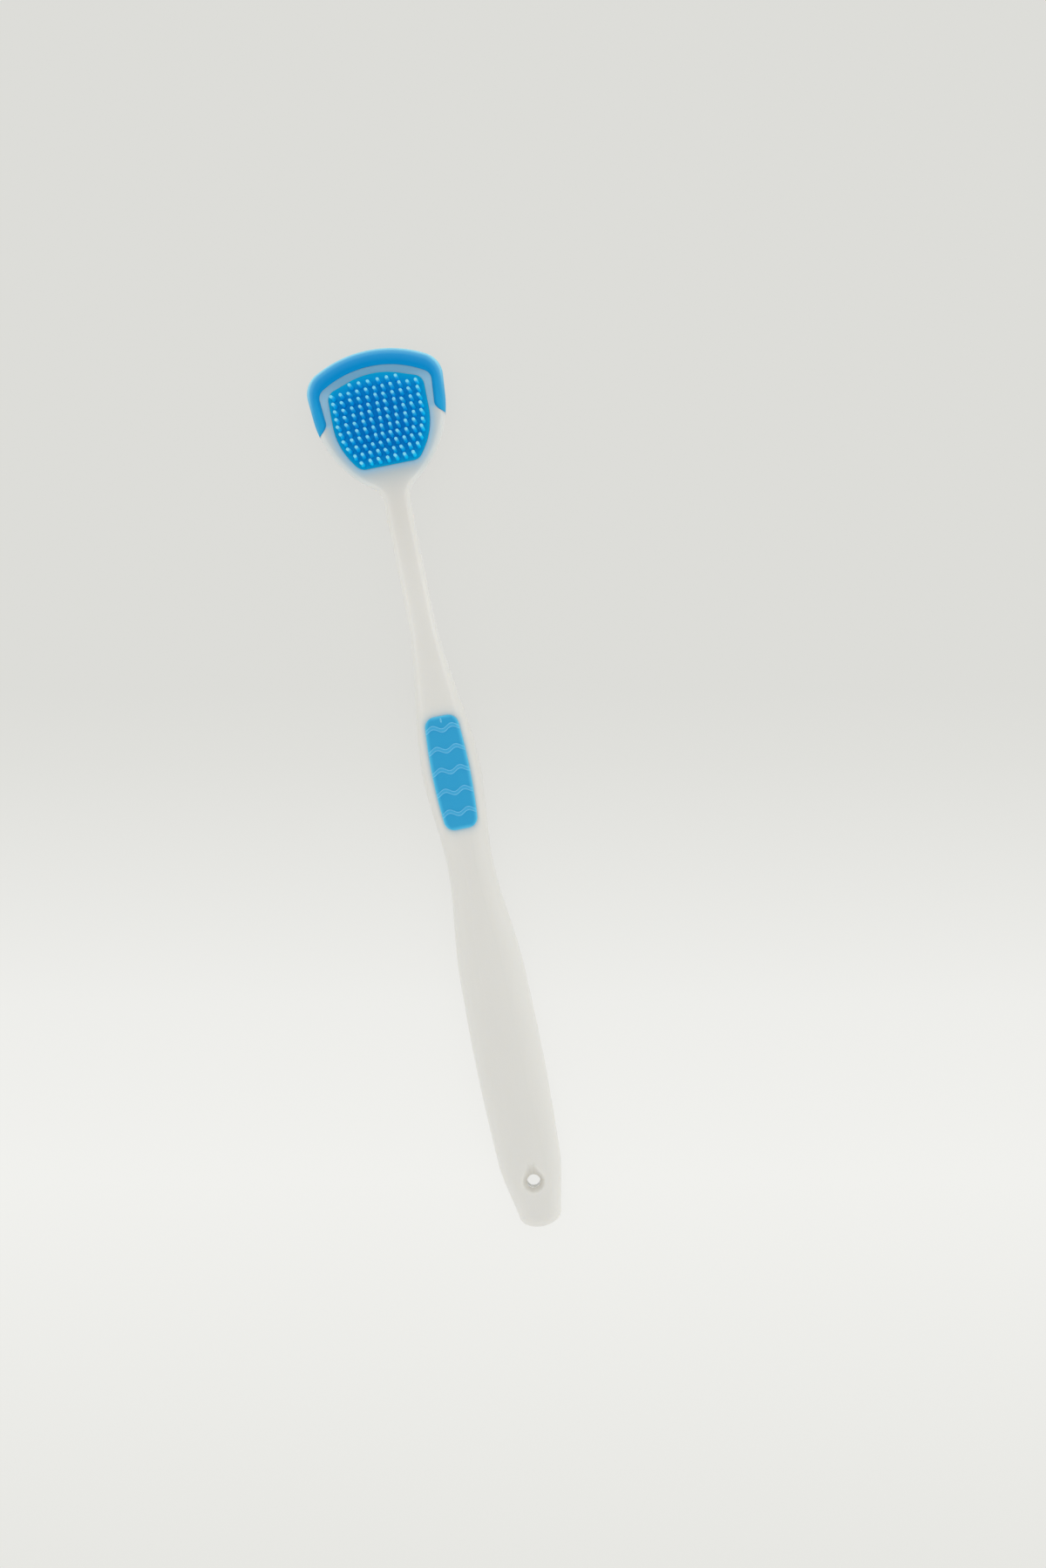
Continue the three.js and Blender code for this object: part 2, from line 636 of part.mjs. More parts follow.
function gripTop(x, along) {
  const fromEnd = Math.max(0, GRIP_LENGTH / 2 - Math.abs(along - thumbAt));
  const share = Math.min(1, Math.abs(x) / gripHalfWidth(along, 0));
  const dome = GRIP_DOME * (1 - share * share) * endFullness(fromEnd, GRIP_LENGTH / 2);
  return frontAt(along) + GRIP_EDGE_RISE + dome;
}

// The grip's body, or its seat when it is grown: a floor in the handle and a crowned top
function gripBody(grow, heightOver) {
  const ring = (along) => {
    const half = gripHalfWidth(along, grow);
    const floor = frontAt(along) - GRIP_DEPTH - grow;
    const points = [new THREE.Vector3(-half, along, floor), new THREE.Vector3(half, along, floor)];
    for (let k = 0; k <= GRIP_ACROSS_STEPS; k++) {
      const x = half * (1 - (2 * k) / GRIP_ACROSS_STEPS);
      points.push(new THREE.Vector3(x, along, gripTop(x, along) + heightOver));
    }
    return points;
  };
  const reach = GRIP_LENGTH / 2 + grow;
  const corner = GRIP_CORNER + grow;
  const offsets = [];
  for (let k = 0; k < GRIP_CORNER_STEPS; k++) {
    const turn = ((Math.PI / 2) * k) / GRIP_CORNER_STEPS;
    offsets.push(-reach + corner * (1 - Math.cos(turn)));
  }
  const straight = Math.ceil((reach - corner) / GRIP_STEP);
  for (let k = 0; k < straight; k++) offsets.push((corner - reach) * (1 - k / straight));
  const all = [...offsets, 0, ...offsets.map((offset) => -offset).reverse()];
  return loft(all.map((offset) => ring(thumbAt + offset)));
}

// One raised wave across the grip
function gripWave(middle) {
  const half = gripHalfWidth(middle, 0) - WAVE_INSET;
  const rings = [];
  for (let k = 0; k <= WAVE_STEPS; k++) {
    const x = half * ((2 * k) / WAVE_STEPS - 1);
    const along = middle - WAVE_SWING * Math.cos((2 * Math.PI * x) / WAVE_LENGTH);
    const base = gripTop(x, along);
    const ring = [
      new THREE.Vector3(x, along - WAVE_WIDTH / 2, base - WAVE_ROOT),
      new THREE.Vector3(x, along + WAVE_WIDTH / 2, base - WAVE_ROOT),
    ];
    for (let step = 0; step <= WAVE_ROUND_STEPS; step++) {
      const turn = (Math.PI * step) / WAVE_ROUND_STEPS;
      const y = along + (WAVE_WIDTH / 2) * Math.cos(turn);
      ring.push(new THREE.Vector3(x, y, base + WAVE_HEIGHT * Math.sin(turn)));
    }
    rings.push(ring);
  }
  return loft(rings);
}

function handleGeometry() {
  const body = loft(handlePlaces().map(handleRing));
  const lipSeat = alongLip(lipSeatSection, BOND_GAP).applyMatrix4(head.matrix);
  const padSeatOutline = grownOutline(padOutline, BOND_GAP);
  const padSeat = padSlab(padSeatOutline, plateHalf - PAD_DEPTH - BOND_GAP, plateHalf + CUT_ROOM);
  const gripSeat = gripBody(BOND_GAP, CUT_ROOM);
  const cuts = [lipSeat, padSeat.applyMatrix4(head.matrix), gripSeat, hangingHole()];
  return geometryFrom(cuts.reduce((solid, cut) => solid.subtract(solidFrom(cut)), solidFrom(body)));
}

function padGeometry() {
  const slab = padSlab(padOutline, plateHalf - PAD_DEPTH, plateHalf + PAD_RISE);
  return geometryFrom(solidFrom(slab).add(nubs()));
}

function gripGeometry() {
  let grip = solidFrom(gripBody(0, 0));
  for (let wave = 0; wave < WAVE_COUNT; wave++) {
    const middle = thumbAt + (wave - (WAVE_COUNT - 1) / 2) * WAVE_PITCH;
    grip = grip.add(solidFrom(gripWave(middle)));
  }
  return geometryFrom(grip);
}

function namedMesh(name, geometry, material) {
  const mesh = new THREE.Mesh(geometry, material);
  mesh.name = name;
  return mesh;
}

const whitePlastic = () => new THREE.MeshStandardMaterial({ color: 0xe6e4de, roughness: 0.4, metalness: 0 });
const blueRubber = () => new THREE.MeshStandardMaterial({ color: 0x1e96d6, roughness: 0.55, metalness: 0 });

const brush = new THREE.Group();
brush.position.y = -LENGTH / 2;
head.add(namedMesh("scraper_lip", alongLip(lipSection, 0), blueRubber()));
head.add(namedMesh("bristle_pad", padGeometry(), blueRubber()));
brush.add(head);
brush.add(namedMesh("handle", handleGeometry(), whitePlastic()));
brush.add(namedMesh("thumb_grip", gripGeometry(), blueRubber()));

export default brush;
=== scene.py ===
import math
import random

import bmesh
import bpy
import numpy as np
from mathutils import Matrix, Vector


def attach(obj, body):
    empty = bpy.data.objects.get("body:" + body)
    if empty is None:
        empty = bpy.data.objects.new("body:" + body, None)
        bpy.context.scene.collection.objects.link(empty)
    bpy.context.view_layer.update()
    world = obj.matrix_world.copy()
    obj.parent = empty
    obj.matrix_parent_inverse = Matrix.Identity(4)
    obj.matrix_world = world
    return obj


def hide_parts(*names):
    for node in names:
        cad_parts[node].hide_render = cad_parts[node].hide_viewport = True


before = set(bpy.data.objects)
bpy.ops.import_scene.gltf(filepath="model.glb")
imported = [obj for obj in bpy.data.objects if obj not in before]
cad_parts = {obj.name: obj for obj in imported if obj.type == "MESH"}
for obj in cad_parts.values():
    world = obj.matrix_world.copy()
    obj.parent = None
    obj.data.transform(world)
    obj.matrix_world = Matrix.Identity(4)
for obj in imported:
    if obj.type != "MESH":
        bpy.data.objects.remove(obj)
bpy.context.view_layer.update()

# The look of a tongue brush that lies on its back: a white moulded handle with a soft blue lip, pad and
# grip. Sizes are in millimetres and become metres when a mesh is made. Materials, floor and lamp are in
# metres. "along" is a distance from the hanging end. In the tilted head, "reach" is the distance from
# the scraping edge, negative towards the handle, and "rise" the height over the middle of the plate.
MM = 0.001
BODY = "root"

# Whole brush
LENGTH = 180
HEAD_TILT = math.radians(10)
TABLE_GAP = 0.03  # the scraping edge stops this far above the table
FIT_GAP = 0.003  # a hairline between a soft moulding and its seat
SEAM_SHARE = 0.45  # the mould's parting line lies at this share of the thickness
SEAM_RIDGE = 0.004  # and stands out this far

# Handle sections: (along, width, thickness, height of the back)
TAIL = (2.6, 8.5, 4.2, 0)
FLARE = (14.5, 12.7, 5, 0)
PALM = (36, 13.75, 6.6, 0)
SHOULDER = (52, 13.2, 7, 0)
WAIST = (75, 9.2, 7.4, 0.9)
THUMB = (93.15, 11.7, 8.4, 2)
NECK = (126, 5.3, 4.6, 4.2)

# How far the handle's rounded edges reach in over the front and the back
TAIL_EDGE = 2.4
PALM_FRONT_EDGE = 4.4
PALM_BACK_EDGE = 3
THUMB_FRONT_EDGE = 2.5
THUMB_BACK_EDGE = 3.8
NECK_EDGE = 0.95
EDGE_LIMIT = 0.85  # largest share of the half width that an edge takes

# Hanging hole
HOLE_AT = 9.5
HOLE_RADIUS = 1.35
TEARDROP_RADIUS = 2.3
TEARDROP_POINT = 4.7  # from the bore's axis to where the teardrop's sides would meet
TEARDROP_REACH = 3.65  # from the bore's axis to the teardrop's blunt end
TEARDROP_DEPTH = 1.1
TEARDROP_SOFTNESS = 0.3  # rounding of the recess's rim, as a share of its width
RECESS_SHADE_FADE = 0.7  # below 1, the recess's painted shade sets in sooner than its depth
HOLE_BACK_CHAMFER = 0.5

# Head plate
HEAD_LENGTH = 30
HEAD_WIDTH = 28.4
HEAD_THICKNESS = 3
HEAD_EDGE = 1.2
CROWN_RADIUS = 23
CROWN_SLOPE = math.radians(30)
CROWN_CORNER_RADIUS = 5.2
SIDE_SLOPE = math.radians(4.7)
BOWL_SLOPE = math.radians(53)
BOWL_RADIUS = 22.5
NECK_FILLET = 4.6
NECK_BEND_BELOW = 7  # the neck bends into the plate from this far below the neck's corner
NECK_BEND_ABOVE = 4.8  # up to this far above it

# Scraper lip
LIP_LENGTH = 16.2  # from the scraping edge down to its two ends
LIP_CROWN_WIDTH = 3.9
LIP_SIDE_WIDTH = 2.4
LIP_INNER_RADIUS = 2.3
LIP_END_TAPER = 2
LIP_END_WIDTH = 0.45
LIP_NOSE_INSET = 0.07  # keeps the finely rounded nose inside the object's box
LIP_CREST = 1.8  # from the scraping edge in to the top of the lip
LIP_CREST_SHARE = 0.75  # or, where the lip is narrow, this share of its width
LIP_RISE = 0.4  # height of the lip over the plate
LIP_INNER_RISE = 0.08  # height of its inner edge over the plate
LIP_STEP = 0.1  # the lip stands out this far past the white edge
LIP_INNER_ROUND = 0.06
FLANGE_THICKNESS = 1.1  # the plate's flange, which sits in a slot of the lip
FLANGE_INSET = 1.2
LEAST_STEP = 0.02  # least depth of that slot

# Bristle pad
PAD_LAND_CROWN = 1.55  # white land between the lip and the pad
PAD_LAND_SIDE = 2
PAD_FOOT_MARGIN = 5  # from the neck's corner up to the pad
PAD_FOOT_WIDTH = 11.8
PAD_FOOT_RADIUS = 2.2
PAD_FOOT_SLOPE = math.radians(36.5)
PAD_SIDE_RADIUS = 15
PAD_CORNER_RADIUS = 2.3
PAD_CROWN_RADIUS = 15
PAD_CROWN_SLOPE = math.radians(20)
PAD_DEPTH = 1
PAD_RISE = 0.2
PAD_EDGE_ROUND = 0.18
NUB_ROW_COUNTS = (6, 11, 11, 11, 11, 11, 11, 11, 10, 9, 7)
NUB_LENGTH = 2.4
NUB_BASE_RADIUS = 0.37
NUB_TIP_RADIUS = 0.32
NUB_ROOT = 0.3  # part of a nub inside the pad
NUB_FOOT_FLARE = 0.12
NUB_FOOT_HEIGHTS = (-0.03, 0.06, 0.14, 0.26, 0.42)  # rings of the flared foot, none in the pad's face
NUB_TIP_ROUND = 0.6  # share of the tip's radius that is rounded off
NUB_TIP_ANGLES = (0, 20, 40, 60, 78)  # degrees over that rounding
NUB_DIMPLE = 0.1  # depth of the dimple in the tip
NUB_DIMPLE_RIM = 0.38  # radius of its rim and its floor, as shares of the tip's
NUB_DIMPLE_FLOOR = 0.12
NUB_FIRST_ROW = 2.4  # from the pad's crown in to the first row
NUB_CROWN_MARGIN = 1.65  # room from a nub to the pad's edge, towards the crown
NUB_SIDE_MARGIN = 1.3
NUB_FOOT_MARGIN = 0.85
NUB_LEAN = math.radians(-6)  # the soft nubs have all been pressed a little to the left
NUB_EDGE_LEAN = math.radians(-7)  # those along the left edge the most
NUB_NOD = math.radians(7)  # and those in the middle towards the crown
NUB_TWIST = math.radians(3)  # those on the right a little more so, and those on the left less
NUB_WANDER = math.radians(1.7)  # soft nubs never stand quite alike

# Thumb grip
GRIP_LENGTH = 22.8
GRIP_WIDTH = 7.56
GRIP_TAPER = 0.6  # each side draws in this much towards the ends
GRIP_CORNER = 1.9
GRIP_DEPTH = 1.1
GRIP_DOME = 0.44  # height of the grip's middle over its edges
GRIP_EDGE_RISE = 0.06  # height of its edges over the handle
GRIP_EDGE_ROUND = 0.12
WAVE_COUNT = 5
WAVE_PITCH = 4.21
WAVE_LENGTH = 3.8
WAVE_SWING = 0.4
WAVE_WIDTH = 0.95
WAVE_FLAT = 0.45  # share of a wave's width that is flat on top
WAVE_HEIGHT = 0.215
WAVE_SHIFT = 0.47  # the waves lie a little nearer the head than the grip's middle
GATE_LENGTH = 1.3
GATE_WIDTH = 0.4
GATE_HEIGHT = 0.07
GATE_INSET = 0.9  # from the grip's end in to the gate's mark

# How much, and how far in, the painted blue glow beside the soft mouldings and the painted light at the
# edges colour the white plastic
PAD_PAINTED_BLUE_GLOW = 0.6
PAD_PAINTED_BLUE_GLOW_DEPTH = 1.7
SIDE_LAND_PAINTED_BLUE_GLOW = 0.63  # on the land between the lip and the pad
CROWN_LAND_PAINTED_BLUE_GLOW = 0.9
LAND_NARROW = 2.8  # a land up to this wide gets all of it
LAND_WIDE = 4  # and one this wide none
GRIP_PAINTED_BLUE_GLOW = 0.5
GRIP_PAINTED_BLUE_GLOW_DEPTH = 0.6
PAINTED_EDGE_LIGHT_DEPTH = 1.1  # the painted light at the edge reaches in this far
PAINTED_EDGE_LIGHT_SHARE = 0.2  # but no more of the half width than this
PAINTED_SHADE_FROM = 125  # painted shade darkens the slim neck from here
PAINTED_SHADE_TO = 156  # to here
THICK_PAINTED_EDGE_LIGHT = 0.45  # how much of the painted edge light is left where the handle is thick

# Share of light that scatters inside each soft moulding
LIP_GLOW = 0.3
PAD_GLOW = 0.5
GRIP_GLOW = 0.15

# Fineness of the handle: points of a section, then places along it
SEAM_TURNS = (0, 0.02)  # the parting line's top and foot, as turns round the edge
EDGE_START = 0.06  # from here the edge is evenly divided
EDGE_POINTS = 12
FRONT_POINTS = 90
BACK_POINTS = 16
TAIL_ANGLES = range(4, 90, 5)  # degrees round the hanging end
HOLE_STEP = 0.12
HOLE_ROOM = 1  # the hole's step is kept this far past the recess
PALM_STEP = 1
GRIP_STEP = 0.3
GRIP_ROOM = 2  # the grip's step is kept this far past its ends
NECK_STEP = 0.8
HEAD_STEP = 0.25
CROWN_ROOM = 4  # the crown's steps start this far from its end
CROWN_ANGLES = range(0, 88, 3)  # degrees
HOLE_SIDES = 72

# Fineness of the soft mouldings
LIP_STATIONS = 241
LIP_END_ANGLES = range(0, 90, 6)  # degrees round its ends
LIP_NOSE_POINTS = 15
LIP_SLOPE_POINTS = 9
LIP_CORNER_STEP = 3  # the inner corner takes every third angle of the nose
PAD_EDGE_POINTS = 7
PAD_FACE_SHARES = np.linspace(1, 0.04, 22)[1:]  # rings in the pad's face, from its edge in
NUB_SIDES = 16
GRIP_END_ANGLES = range(0, 90, 3)  # degrees round its corners
GRIP_ALONG_STEP = 0.07
GRIP_ACROSS_POINTS = 121
GRIP_OUTLINE_POINTS = 80

# All meshes
ARC_STEP = math.radians(2.5)
SMOOTH_ANGLE = math.radians(35)
SLIVER = 0.0002  # faces thinner than this are dissolved
CUT_ROOM = 1  # the hole's cutter reaches this far over the handle
SEAT_ROOM = 2  # and that of the grip's seat this far
TINY = 1e-12  # keeps a division by nothing from failing

# Sockets of a node that mixes two colours
MIX_INPUTS = (0, 6, 7)  # the factor and the two colours
MIX_OUTPUT = 2

# Light and floor
KEY_PLACE = (0.8, 0.25, 0.7)
KEY_SIZE = 0.8
KEY_POWER = 0.5
HORIZON_LIGHT = 1.25
ZENITH_LIGHT = 0.85
FLOOR_HALF = 4.0
FLOOR_FADE = (-0.16, 0.02)  # the floor's colour changes between these places up the picture
FLOOR_GLOW = 0.9  # share of the floor's own colour that the camera sees

# Camera: above the brush, looking down, with the brush's head turned up and to the left
CAMERA_PLACE = (13.5, -1.87, 441.1)
CAMERA_TURN = (0, 0, math.radians(-11.3))
CAMERA_LENS = 50
CAMERA_NEAR = 0.01  # in metres

rng = random.Random(7)


def srgb(red, green, blue):
    """A colour written as 0 to 255 on a screen, for a shader."""
    shares = [c / 255 for c in (red, green, blue)]
    return (*(s / 12.92 if s <= 0.04045 else ((s + 0.055) / 1.055) ** 2.4 for s in shares), 1)


# Curves and outlines


def ease(start, end, value):
    """From 0 at start to 1 at end, with soft ends."""
    t = np.clip((value - start) / (end - start), 0, 1)
    return t * t * (3 - 2 * t)


def end_fullness(distance, length):
    """How full a rounded end is at a distance from it, from 0 at the end to 1."""
    left = 1 - np.clip(distance / length, 0, 1)
    return np.sqrt(1 - left * left)


def smooth_curve(*stations):
    """A curve through (place, value) stations that doesn't overshoot between them."""
    places, values = np.array(stations, float).T
    rises = np.diff(values) / np.diff(places)
    before, after = rises[:-1], rises[1:]
    level = before * after <= 0
    bends = 2 * before * after / np.where(level, 1, before + after)
    slopes = np.concatenate([rises[:1], np.where(level, 0, bends), rises[-1:]])

    def value_at(place):
        i = np.clip(np.searchsorted(places, place) - 1, 0, len(places) - 2)
        span = places[i + 1] - places[i]
        t = np.clip((place - places[i]) / span, 0, 1)
        bend = t * t * (3 - 2 * t)
        leave = t * (1 - t) ** 2 * span * slopes[i]
        arrive = t * t * (t - 1) * span * slopes[i + 1]
        return values[i] * (1 - bend) + values[i + 1] * bend + leave + arrive

    return value_at


def rounded_outline(corners):
    """A closed outline through corners (x, y, radius), each rounded as far as its two sides allow."""
    spots = np.array([corner[:2] for corner in corners], float)
    radii = np.array([corner[2] for corner in corners], float)
    back = np.roll(spots, 1, axis=0) - spots
    ahead = np.roll(spots, -1, axis=0) - spots
    lengths = np.linalg.norm(ahead, axis=1)
    back /= np.linalg.norm(back, axis=1)[:, None]
    ahead /= lengths[:, None]
    halves = np.arccos(np.sum(back * ahead, axis=1)) / 2
    wanted = radii / np.tan(halves)
    fit = np.minimum(1, lengths / np.maximum(wanted + np.roll(wanted, -1), TINY))
    tangents = wanted * np.minimum(fit, np.roll(fit, 1))
    points = []
    for i, corner in enumerate(spots):
        middle = (back[i] + ahead[i]) / np.linalg.norm(back[i] + ahead[i])
        centre = corner + middle * tangents[i] / math.cos(halves[i])
        arm = corner + back[i] * tangents[i] - centre
        way = np.sign(ahead[i][0] * back[i][1] - ahead[i][1] * back[i][0])
        turn = (math.pi - 2 * halves[i]) * way
        steps = max(2, math.ceil(abs(turn) / ARC_STEP)) if tangents[i] > 0 else 0
        for k in range(steps + 1):
            angle = turn * k / max(steps, 1)
            c, s = math.cos(angle), math.sin(angle)
            points.append(centre + (c * arm[0] - s * arm[1], s * arm[0] + c * arm[1]))
    return np.array(points)


def mirrored_outline(*right_corners):
    """A whole outline from its right-hand corners, from the foot up to one on the middle line."""
    left_corners = [(-x, y, radius) for x, y, radius in right_corners[:-1]]
    return rounded_outline([*right_corners, *reversed(left_corners)])


def half_width_at(outline, place):
    """Half the width of an outline at a place along it."""
    ends = np.roll(outline, -1, axis=0)
    crossing = (outline[:, 1] - place) * (ends[:, 1] - place) <= 0
    crossing &= outline[:, 1] != ends[:, 1]
    start, end = outline[crossing], ends[crossing]
    share = (place - start[:, 1]) / (end[:, 1] - start[:, 1])
    return float(np.max(start[:, 0] + (end[:, 0] - start[:, 0]) * share, initial=0))


def meeting_point(spot1, lean1, spot2, lean2):
    """Where two lines meet, each given by a point and its lean from the brush's length."""
    k1, k2 = math.tan(lean1), math.tan(lean2)
    y = (spot2[0] - spot1[0] + k1 * spot1[1] - k2 * spot2[1]) / (k1 - k2)
    return spot1[0] + k1 * (y - spot1[1]), y


def cross(a, b):
    """The cross product of flat vectors."""
    return a[..., 0] * b[..., 1] - a[..., 1] * b[..., 0]


def distance_along(outline, point, way):
    """How far it is from a point, in a direction, to the nearest side of an outline."""
    sides = np.roll(outline, -1, axis=0) - outline
    gaps = outline - point
    lean = cross(way, sides)
    lean = np.where(lean == 0, TINY, lean)
    share = cross(gaps, way) / lean
    distance = cross(gaps, sides) / lean
    return float(np.min(distance[(share >= 0) & (share <= 1) & (distance > 0)]))


def distance_to_line(points, line):
    """The distance of each point to the nearest segment of a line through the given spots."""
    start = line[:-1]
    side = line[1:] - start
    squares = np.maximum(np.sum(side * side, axis=1), TINY)
    nearest = np.full(len(points), np.inf)
    for spot, way, square in zip(start, side, squares):
        share = np.clip((points - spot) @ way / square, 0, 1)
        gap = points - spot - share[:, None] * way
        nearest = np.minimum(nearest, np.hypot(gap[:, 0], gap[:, 1]))
    return nearest


def closed(outline):
    """An outline as a line that ends where it starts."""
    return np.vstack([outline, outline[:1]])


def grown_outline(outline, distance):
    """An outline moved outwards by the same distance all round."""
    way = np.roll(outline, -1, axis=0) - np.roll(outline, 1, axis=0)
    way /= np.linalg.norm(way, axis=1)[:, None]
    return outline + distance * np.column_stack([way[:, 1], -way[:, 0]])


# The head's outlines and its frame
plate_half = HEAD_THICKNESS / 2
tip_height = TABLE_GAP + plate_half * math.cos(HEAD_TILT)
crown_peak = CROWN_RADIUS * (1 / math.cos(CROWN_SLOPE) - 1)
crown_corner = (HEAD_WIDTH / 2, crown_peak - HEAD_WIDTH / 2 * math.tan(CROWN_SLOPE))
neck_half = NECK[1] / 2
neck_corner = (neck_half, -HEAD_LENGTH)
bowl_corner = meeting_point(neck_corner, BOWL_SLOPE, crown_corner, SIDE_SLOPE)
head_outline = mirrored_outline(
    (neck_half, -HEAD_LENGTH - NECK_BEND_BELOW, 0),
    (*neck_corner, NECK_FILLET),
    (*bowl_corner, BOWL_RADIUS),
    (*crown_corner, CROWN_CORNER_RADIUS),
    (0, crown_peak, CROWN_RADIUS),
)

lip_radius = CROWN_RADIUS - LIP_CROWN_WIDTH
lip_peak = lip_radius * (1 / math.cos(CROWN_SLOPE) - 1) - LIP_CROWN_WIDTH
side_draw = (HEAD_LENGTH + crown_corner[1]) * math.tan(SIDE_SLOPE)
lip_foot = (crown_corner[0] - LIP_SIDE_WIDTH / math.cos(SIDE_SLOPE) - side_draw, -HEAD_LENGTH)
lip_corner = meeting_point((0, lip_peak), CROWN_SLOPE - math.pi / 2, lip_foot, SIDE_SLOPE)
lip_inner_outline = mirrored_outline(
    (*lip_foot, 0),
    (*lip_corner, LIP_INNER_RADIUS),
    (0, lip_peak, lip_radius),
)

pad_crown = -LIP_CROWN_WIDTH - PAD_LAND_CROWN
pad_foot = -HEAD_LENGTH + PAD_FOOT_MARGIN
pad_half = HEAD_WIDTH / 2 - LIP_SIDE_WIDTH - PAD_LAND_SIDE
pad_peak = pad_crown + PAD_CROWN_RADIUS * (1 / math.cos(PAD_CROWN_SLOPE) - 1)
pad_knee = meeting_point((PAD_FOOT_WIDTH / 2, pad_foot), PAD_FOOT_SLOPE, (pad_half, pad_foot), 0)
pad_outline = mirrored_outline(
    (PAD_FOOT_WIDTH / 2, pad_foot, PAD_FOOT_RADIUS),
    (*pad_knee, PAD_SIDE_RADIUS),
    (pad_half, pad_peak - pad_half * math.tan(PAD_CROWN_SLOPE), PAD_CORNER_RADIUS),
    (0, pad_peak, PAD_CROWN_RADIUS),
)


def head_points(points):
    """Points (x, reach, rise) of the tilted head as points (x, along, height)."""
    x, reach, rise = np.asarray(points, float).T
    c, s = math.cos(HEAD_TILT), math.sin(HEAD_TILT)
    return np.column_stack([x, LENGTH + reach * c + rise * s, tip_height - reach * s + rise * c])


def in_head(points):
    """Points (x, along, height) as points (x, reach, rise) of the tilted head."""
    x, along, height = points.T
    c, s = math.cos(HEAD_TILT), math.sin(HEAD_TILT)
    y, z = along - LENGTH, height - tip_height
    return np.column_stack([x, y * c - z * s, y * s + z * c])


# Meshes


def new_piece(name, points, faces):
    """A mesh object from points (x, along, height) in millimetres."""
    placed = (np.asarray(points, float) - (0, LENGTH / 2, 0)) * MM
    mesh = bpy.data.meshes.new(name)
    mesh.from_pydata(placed.tolist(), [], faces)
    work = bmesh.new()
    work.from_mesh(mesh)
    bmesh.ops.recalc_face_normals(work, faces=work.faces)
    work.to_mesh(mesh)
    work.free()
    piece = bpy.data.objects.new(name, mesh)
    bpy.context.scene.collection.objects.link(piece)
    return piece


def piece_points(piece):
    """The mesh's points (x, along, height) in millimetres."""
    flat = np.empty(len(piece.data.vertices) * 3)
    piece.data.vertices.foreach_get("co", flat)
    return flat.reshape(-1, 3) / MM + (0, LENGTH / 2, 0)


def skin_faces(start, count, size):
    """Faces of a closed skin over rings of points, which are numbered from a start."""
    faces = []
    for first in range(start, start + (count - 1) * size, size):
        for i in range(size):
            a, b = first + i, first + (i + 1) % size
            faces.append((a, b, b + size, a + size))
    last = start + (count - 1) * size
    faces.append(tuple(range(start, start + size)))
    faces.append(tuple(range(last, last + size)))
    return faces


def loft(name, rings):
    """A closed skin over rings that all have the same number of points."""
    return new_piece(name, np.vstack(rings), skin_faces(0, len(rings), len(rings[0])))


def without_slivers(mesh):
    """The mesh without the faces and edges that a cut leaves too thin to see."""
    work = bmesh.new()
    work.from_mesh(mesh)
    bmesh.ops.dissolve_degenerate(work, dist=SLIVER * MM, edges=work.edges)
    work.to_mesh(mesh)
    work.free()
    return mesh


def combine(piece, other, operation):
    """Joins another mesh to a piece or cuts it away, and removes the other."""
    modifier = piece.modifiers.new(operation.lower(), "BOOLEAN")
    modifier.operation = operation
    modifier.solver = "MANIFOLD"
    modifier.object = other
    graph = bpy.context.evaluated_depsgraph_get()
    result = bpy.data.meshes.new_from_object(piece.evaluated_get(graph))
    piece.modifiers.clear()
    piece.data = without_slivers(result)
    bpy.data.objects.remove(other)


def set_values(piece, name, values, domain="POINT"):
    """A named number on each point or face of a mesh, for its material."""
    attribute = piece.data.attributes.new(name, "FLOAT", domain)
    attribute.data.foreach_set("value", np.asarray(values, np.float32))


def finish_piece(piece, material, node):
    """Shades a piece, gives it its material and puts it in place of a solid."""
    piece.data.shade_smooth()
    piece.data.set_sharp_from_angle(angle=SMOOTH_ANGLE)
    piece.data.materials.clear()
    piece.data.materials.append(material)
    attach(piece, BODY)
    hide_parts(node)


def spread(start, end, step):
    """Places from start up to, but not at, the end, about a step apart."""
    return np.linspace(start, end, math.ceil((end - start) / step), endpoint=False)


# Handle
head_foot_at = LENGTH - HEAD_LENGTH * math.cos(HEAD_TILT)
neck_end_at = head_foot_at - NECK_BEND_BELOW
plate_at = head_foot_at + NECK_BEND_ABOVE
plate_upright = HEAD_THICKNESS / math.cos(HEAD_TILT)


def plate_middle(along):
    return tip_height + (LENGTH - along) * math.tan(HEAD_TILT)


sections = (TAIL, FLARE, PALM, SHOULDER, WAIST, THUMB, NECK)
width_at = smooth_curve(*[(along, width) for along, width, _, _ in sections], (neck_end_at, NECK[1]))
thickness_at = smooth_curve(
    *[(along, thickness) for along, _, thickness, _ in sections],
    (neck_end_at, NECK[2]),
    (plate_at, plate_upright),
    (LENGTH, plate_upright),
)
back_at = smooth_curve(
    (TAIL[0], 0),
    *[(along, lift) for along, _, _, lift in (SHOULDER, WAIST, THUMB, NECK)],
    (neck_end_at, plate_middle(neck_end_at) - NECK[2] / 2),
    (plate_at, plate_middle(plate_at) - plate_upright / 2),
    (LENGTH, plate_middle(LENGTH) - plate_upright / 2),
)


def edge_curve(palm_edge, thumb_edge):
    """How far the rounded edges reach in along the handle."""
    return smooth_curve(
        (TAIL[0], TAIL_EDGE),
        (PALM[0], palm_edge),
        (THUMB[0], thumb_edge),
        (NECK[0], NECK_EDGE),
        (plate_at, HEAD_EDGE),
    )


front_edge_at = edge_curve(PALM_FRONT_EDGE, THUMB_FRONT_EDGE)
back_edge_at = edge_curve(PALM_BACK_EDGE, THUMB_BACK_EDGE)


def front_at(along):
    return back_at(along) + thickness_at(along)


def handle_half_width(along):
    reach = (along - LENGTH) / math.cos(HEAD_TILT)
    if reach < -HEAD_LENGTH - NECK_FILLET:
        return width_at(along) / 2 * end_fullness(along, TAIL[0])
    return half_width_at(head_outline, reach) - LIP_STEP * ease(-HEAD_LENGTH, -LIP_LENGTH, reach)


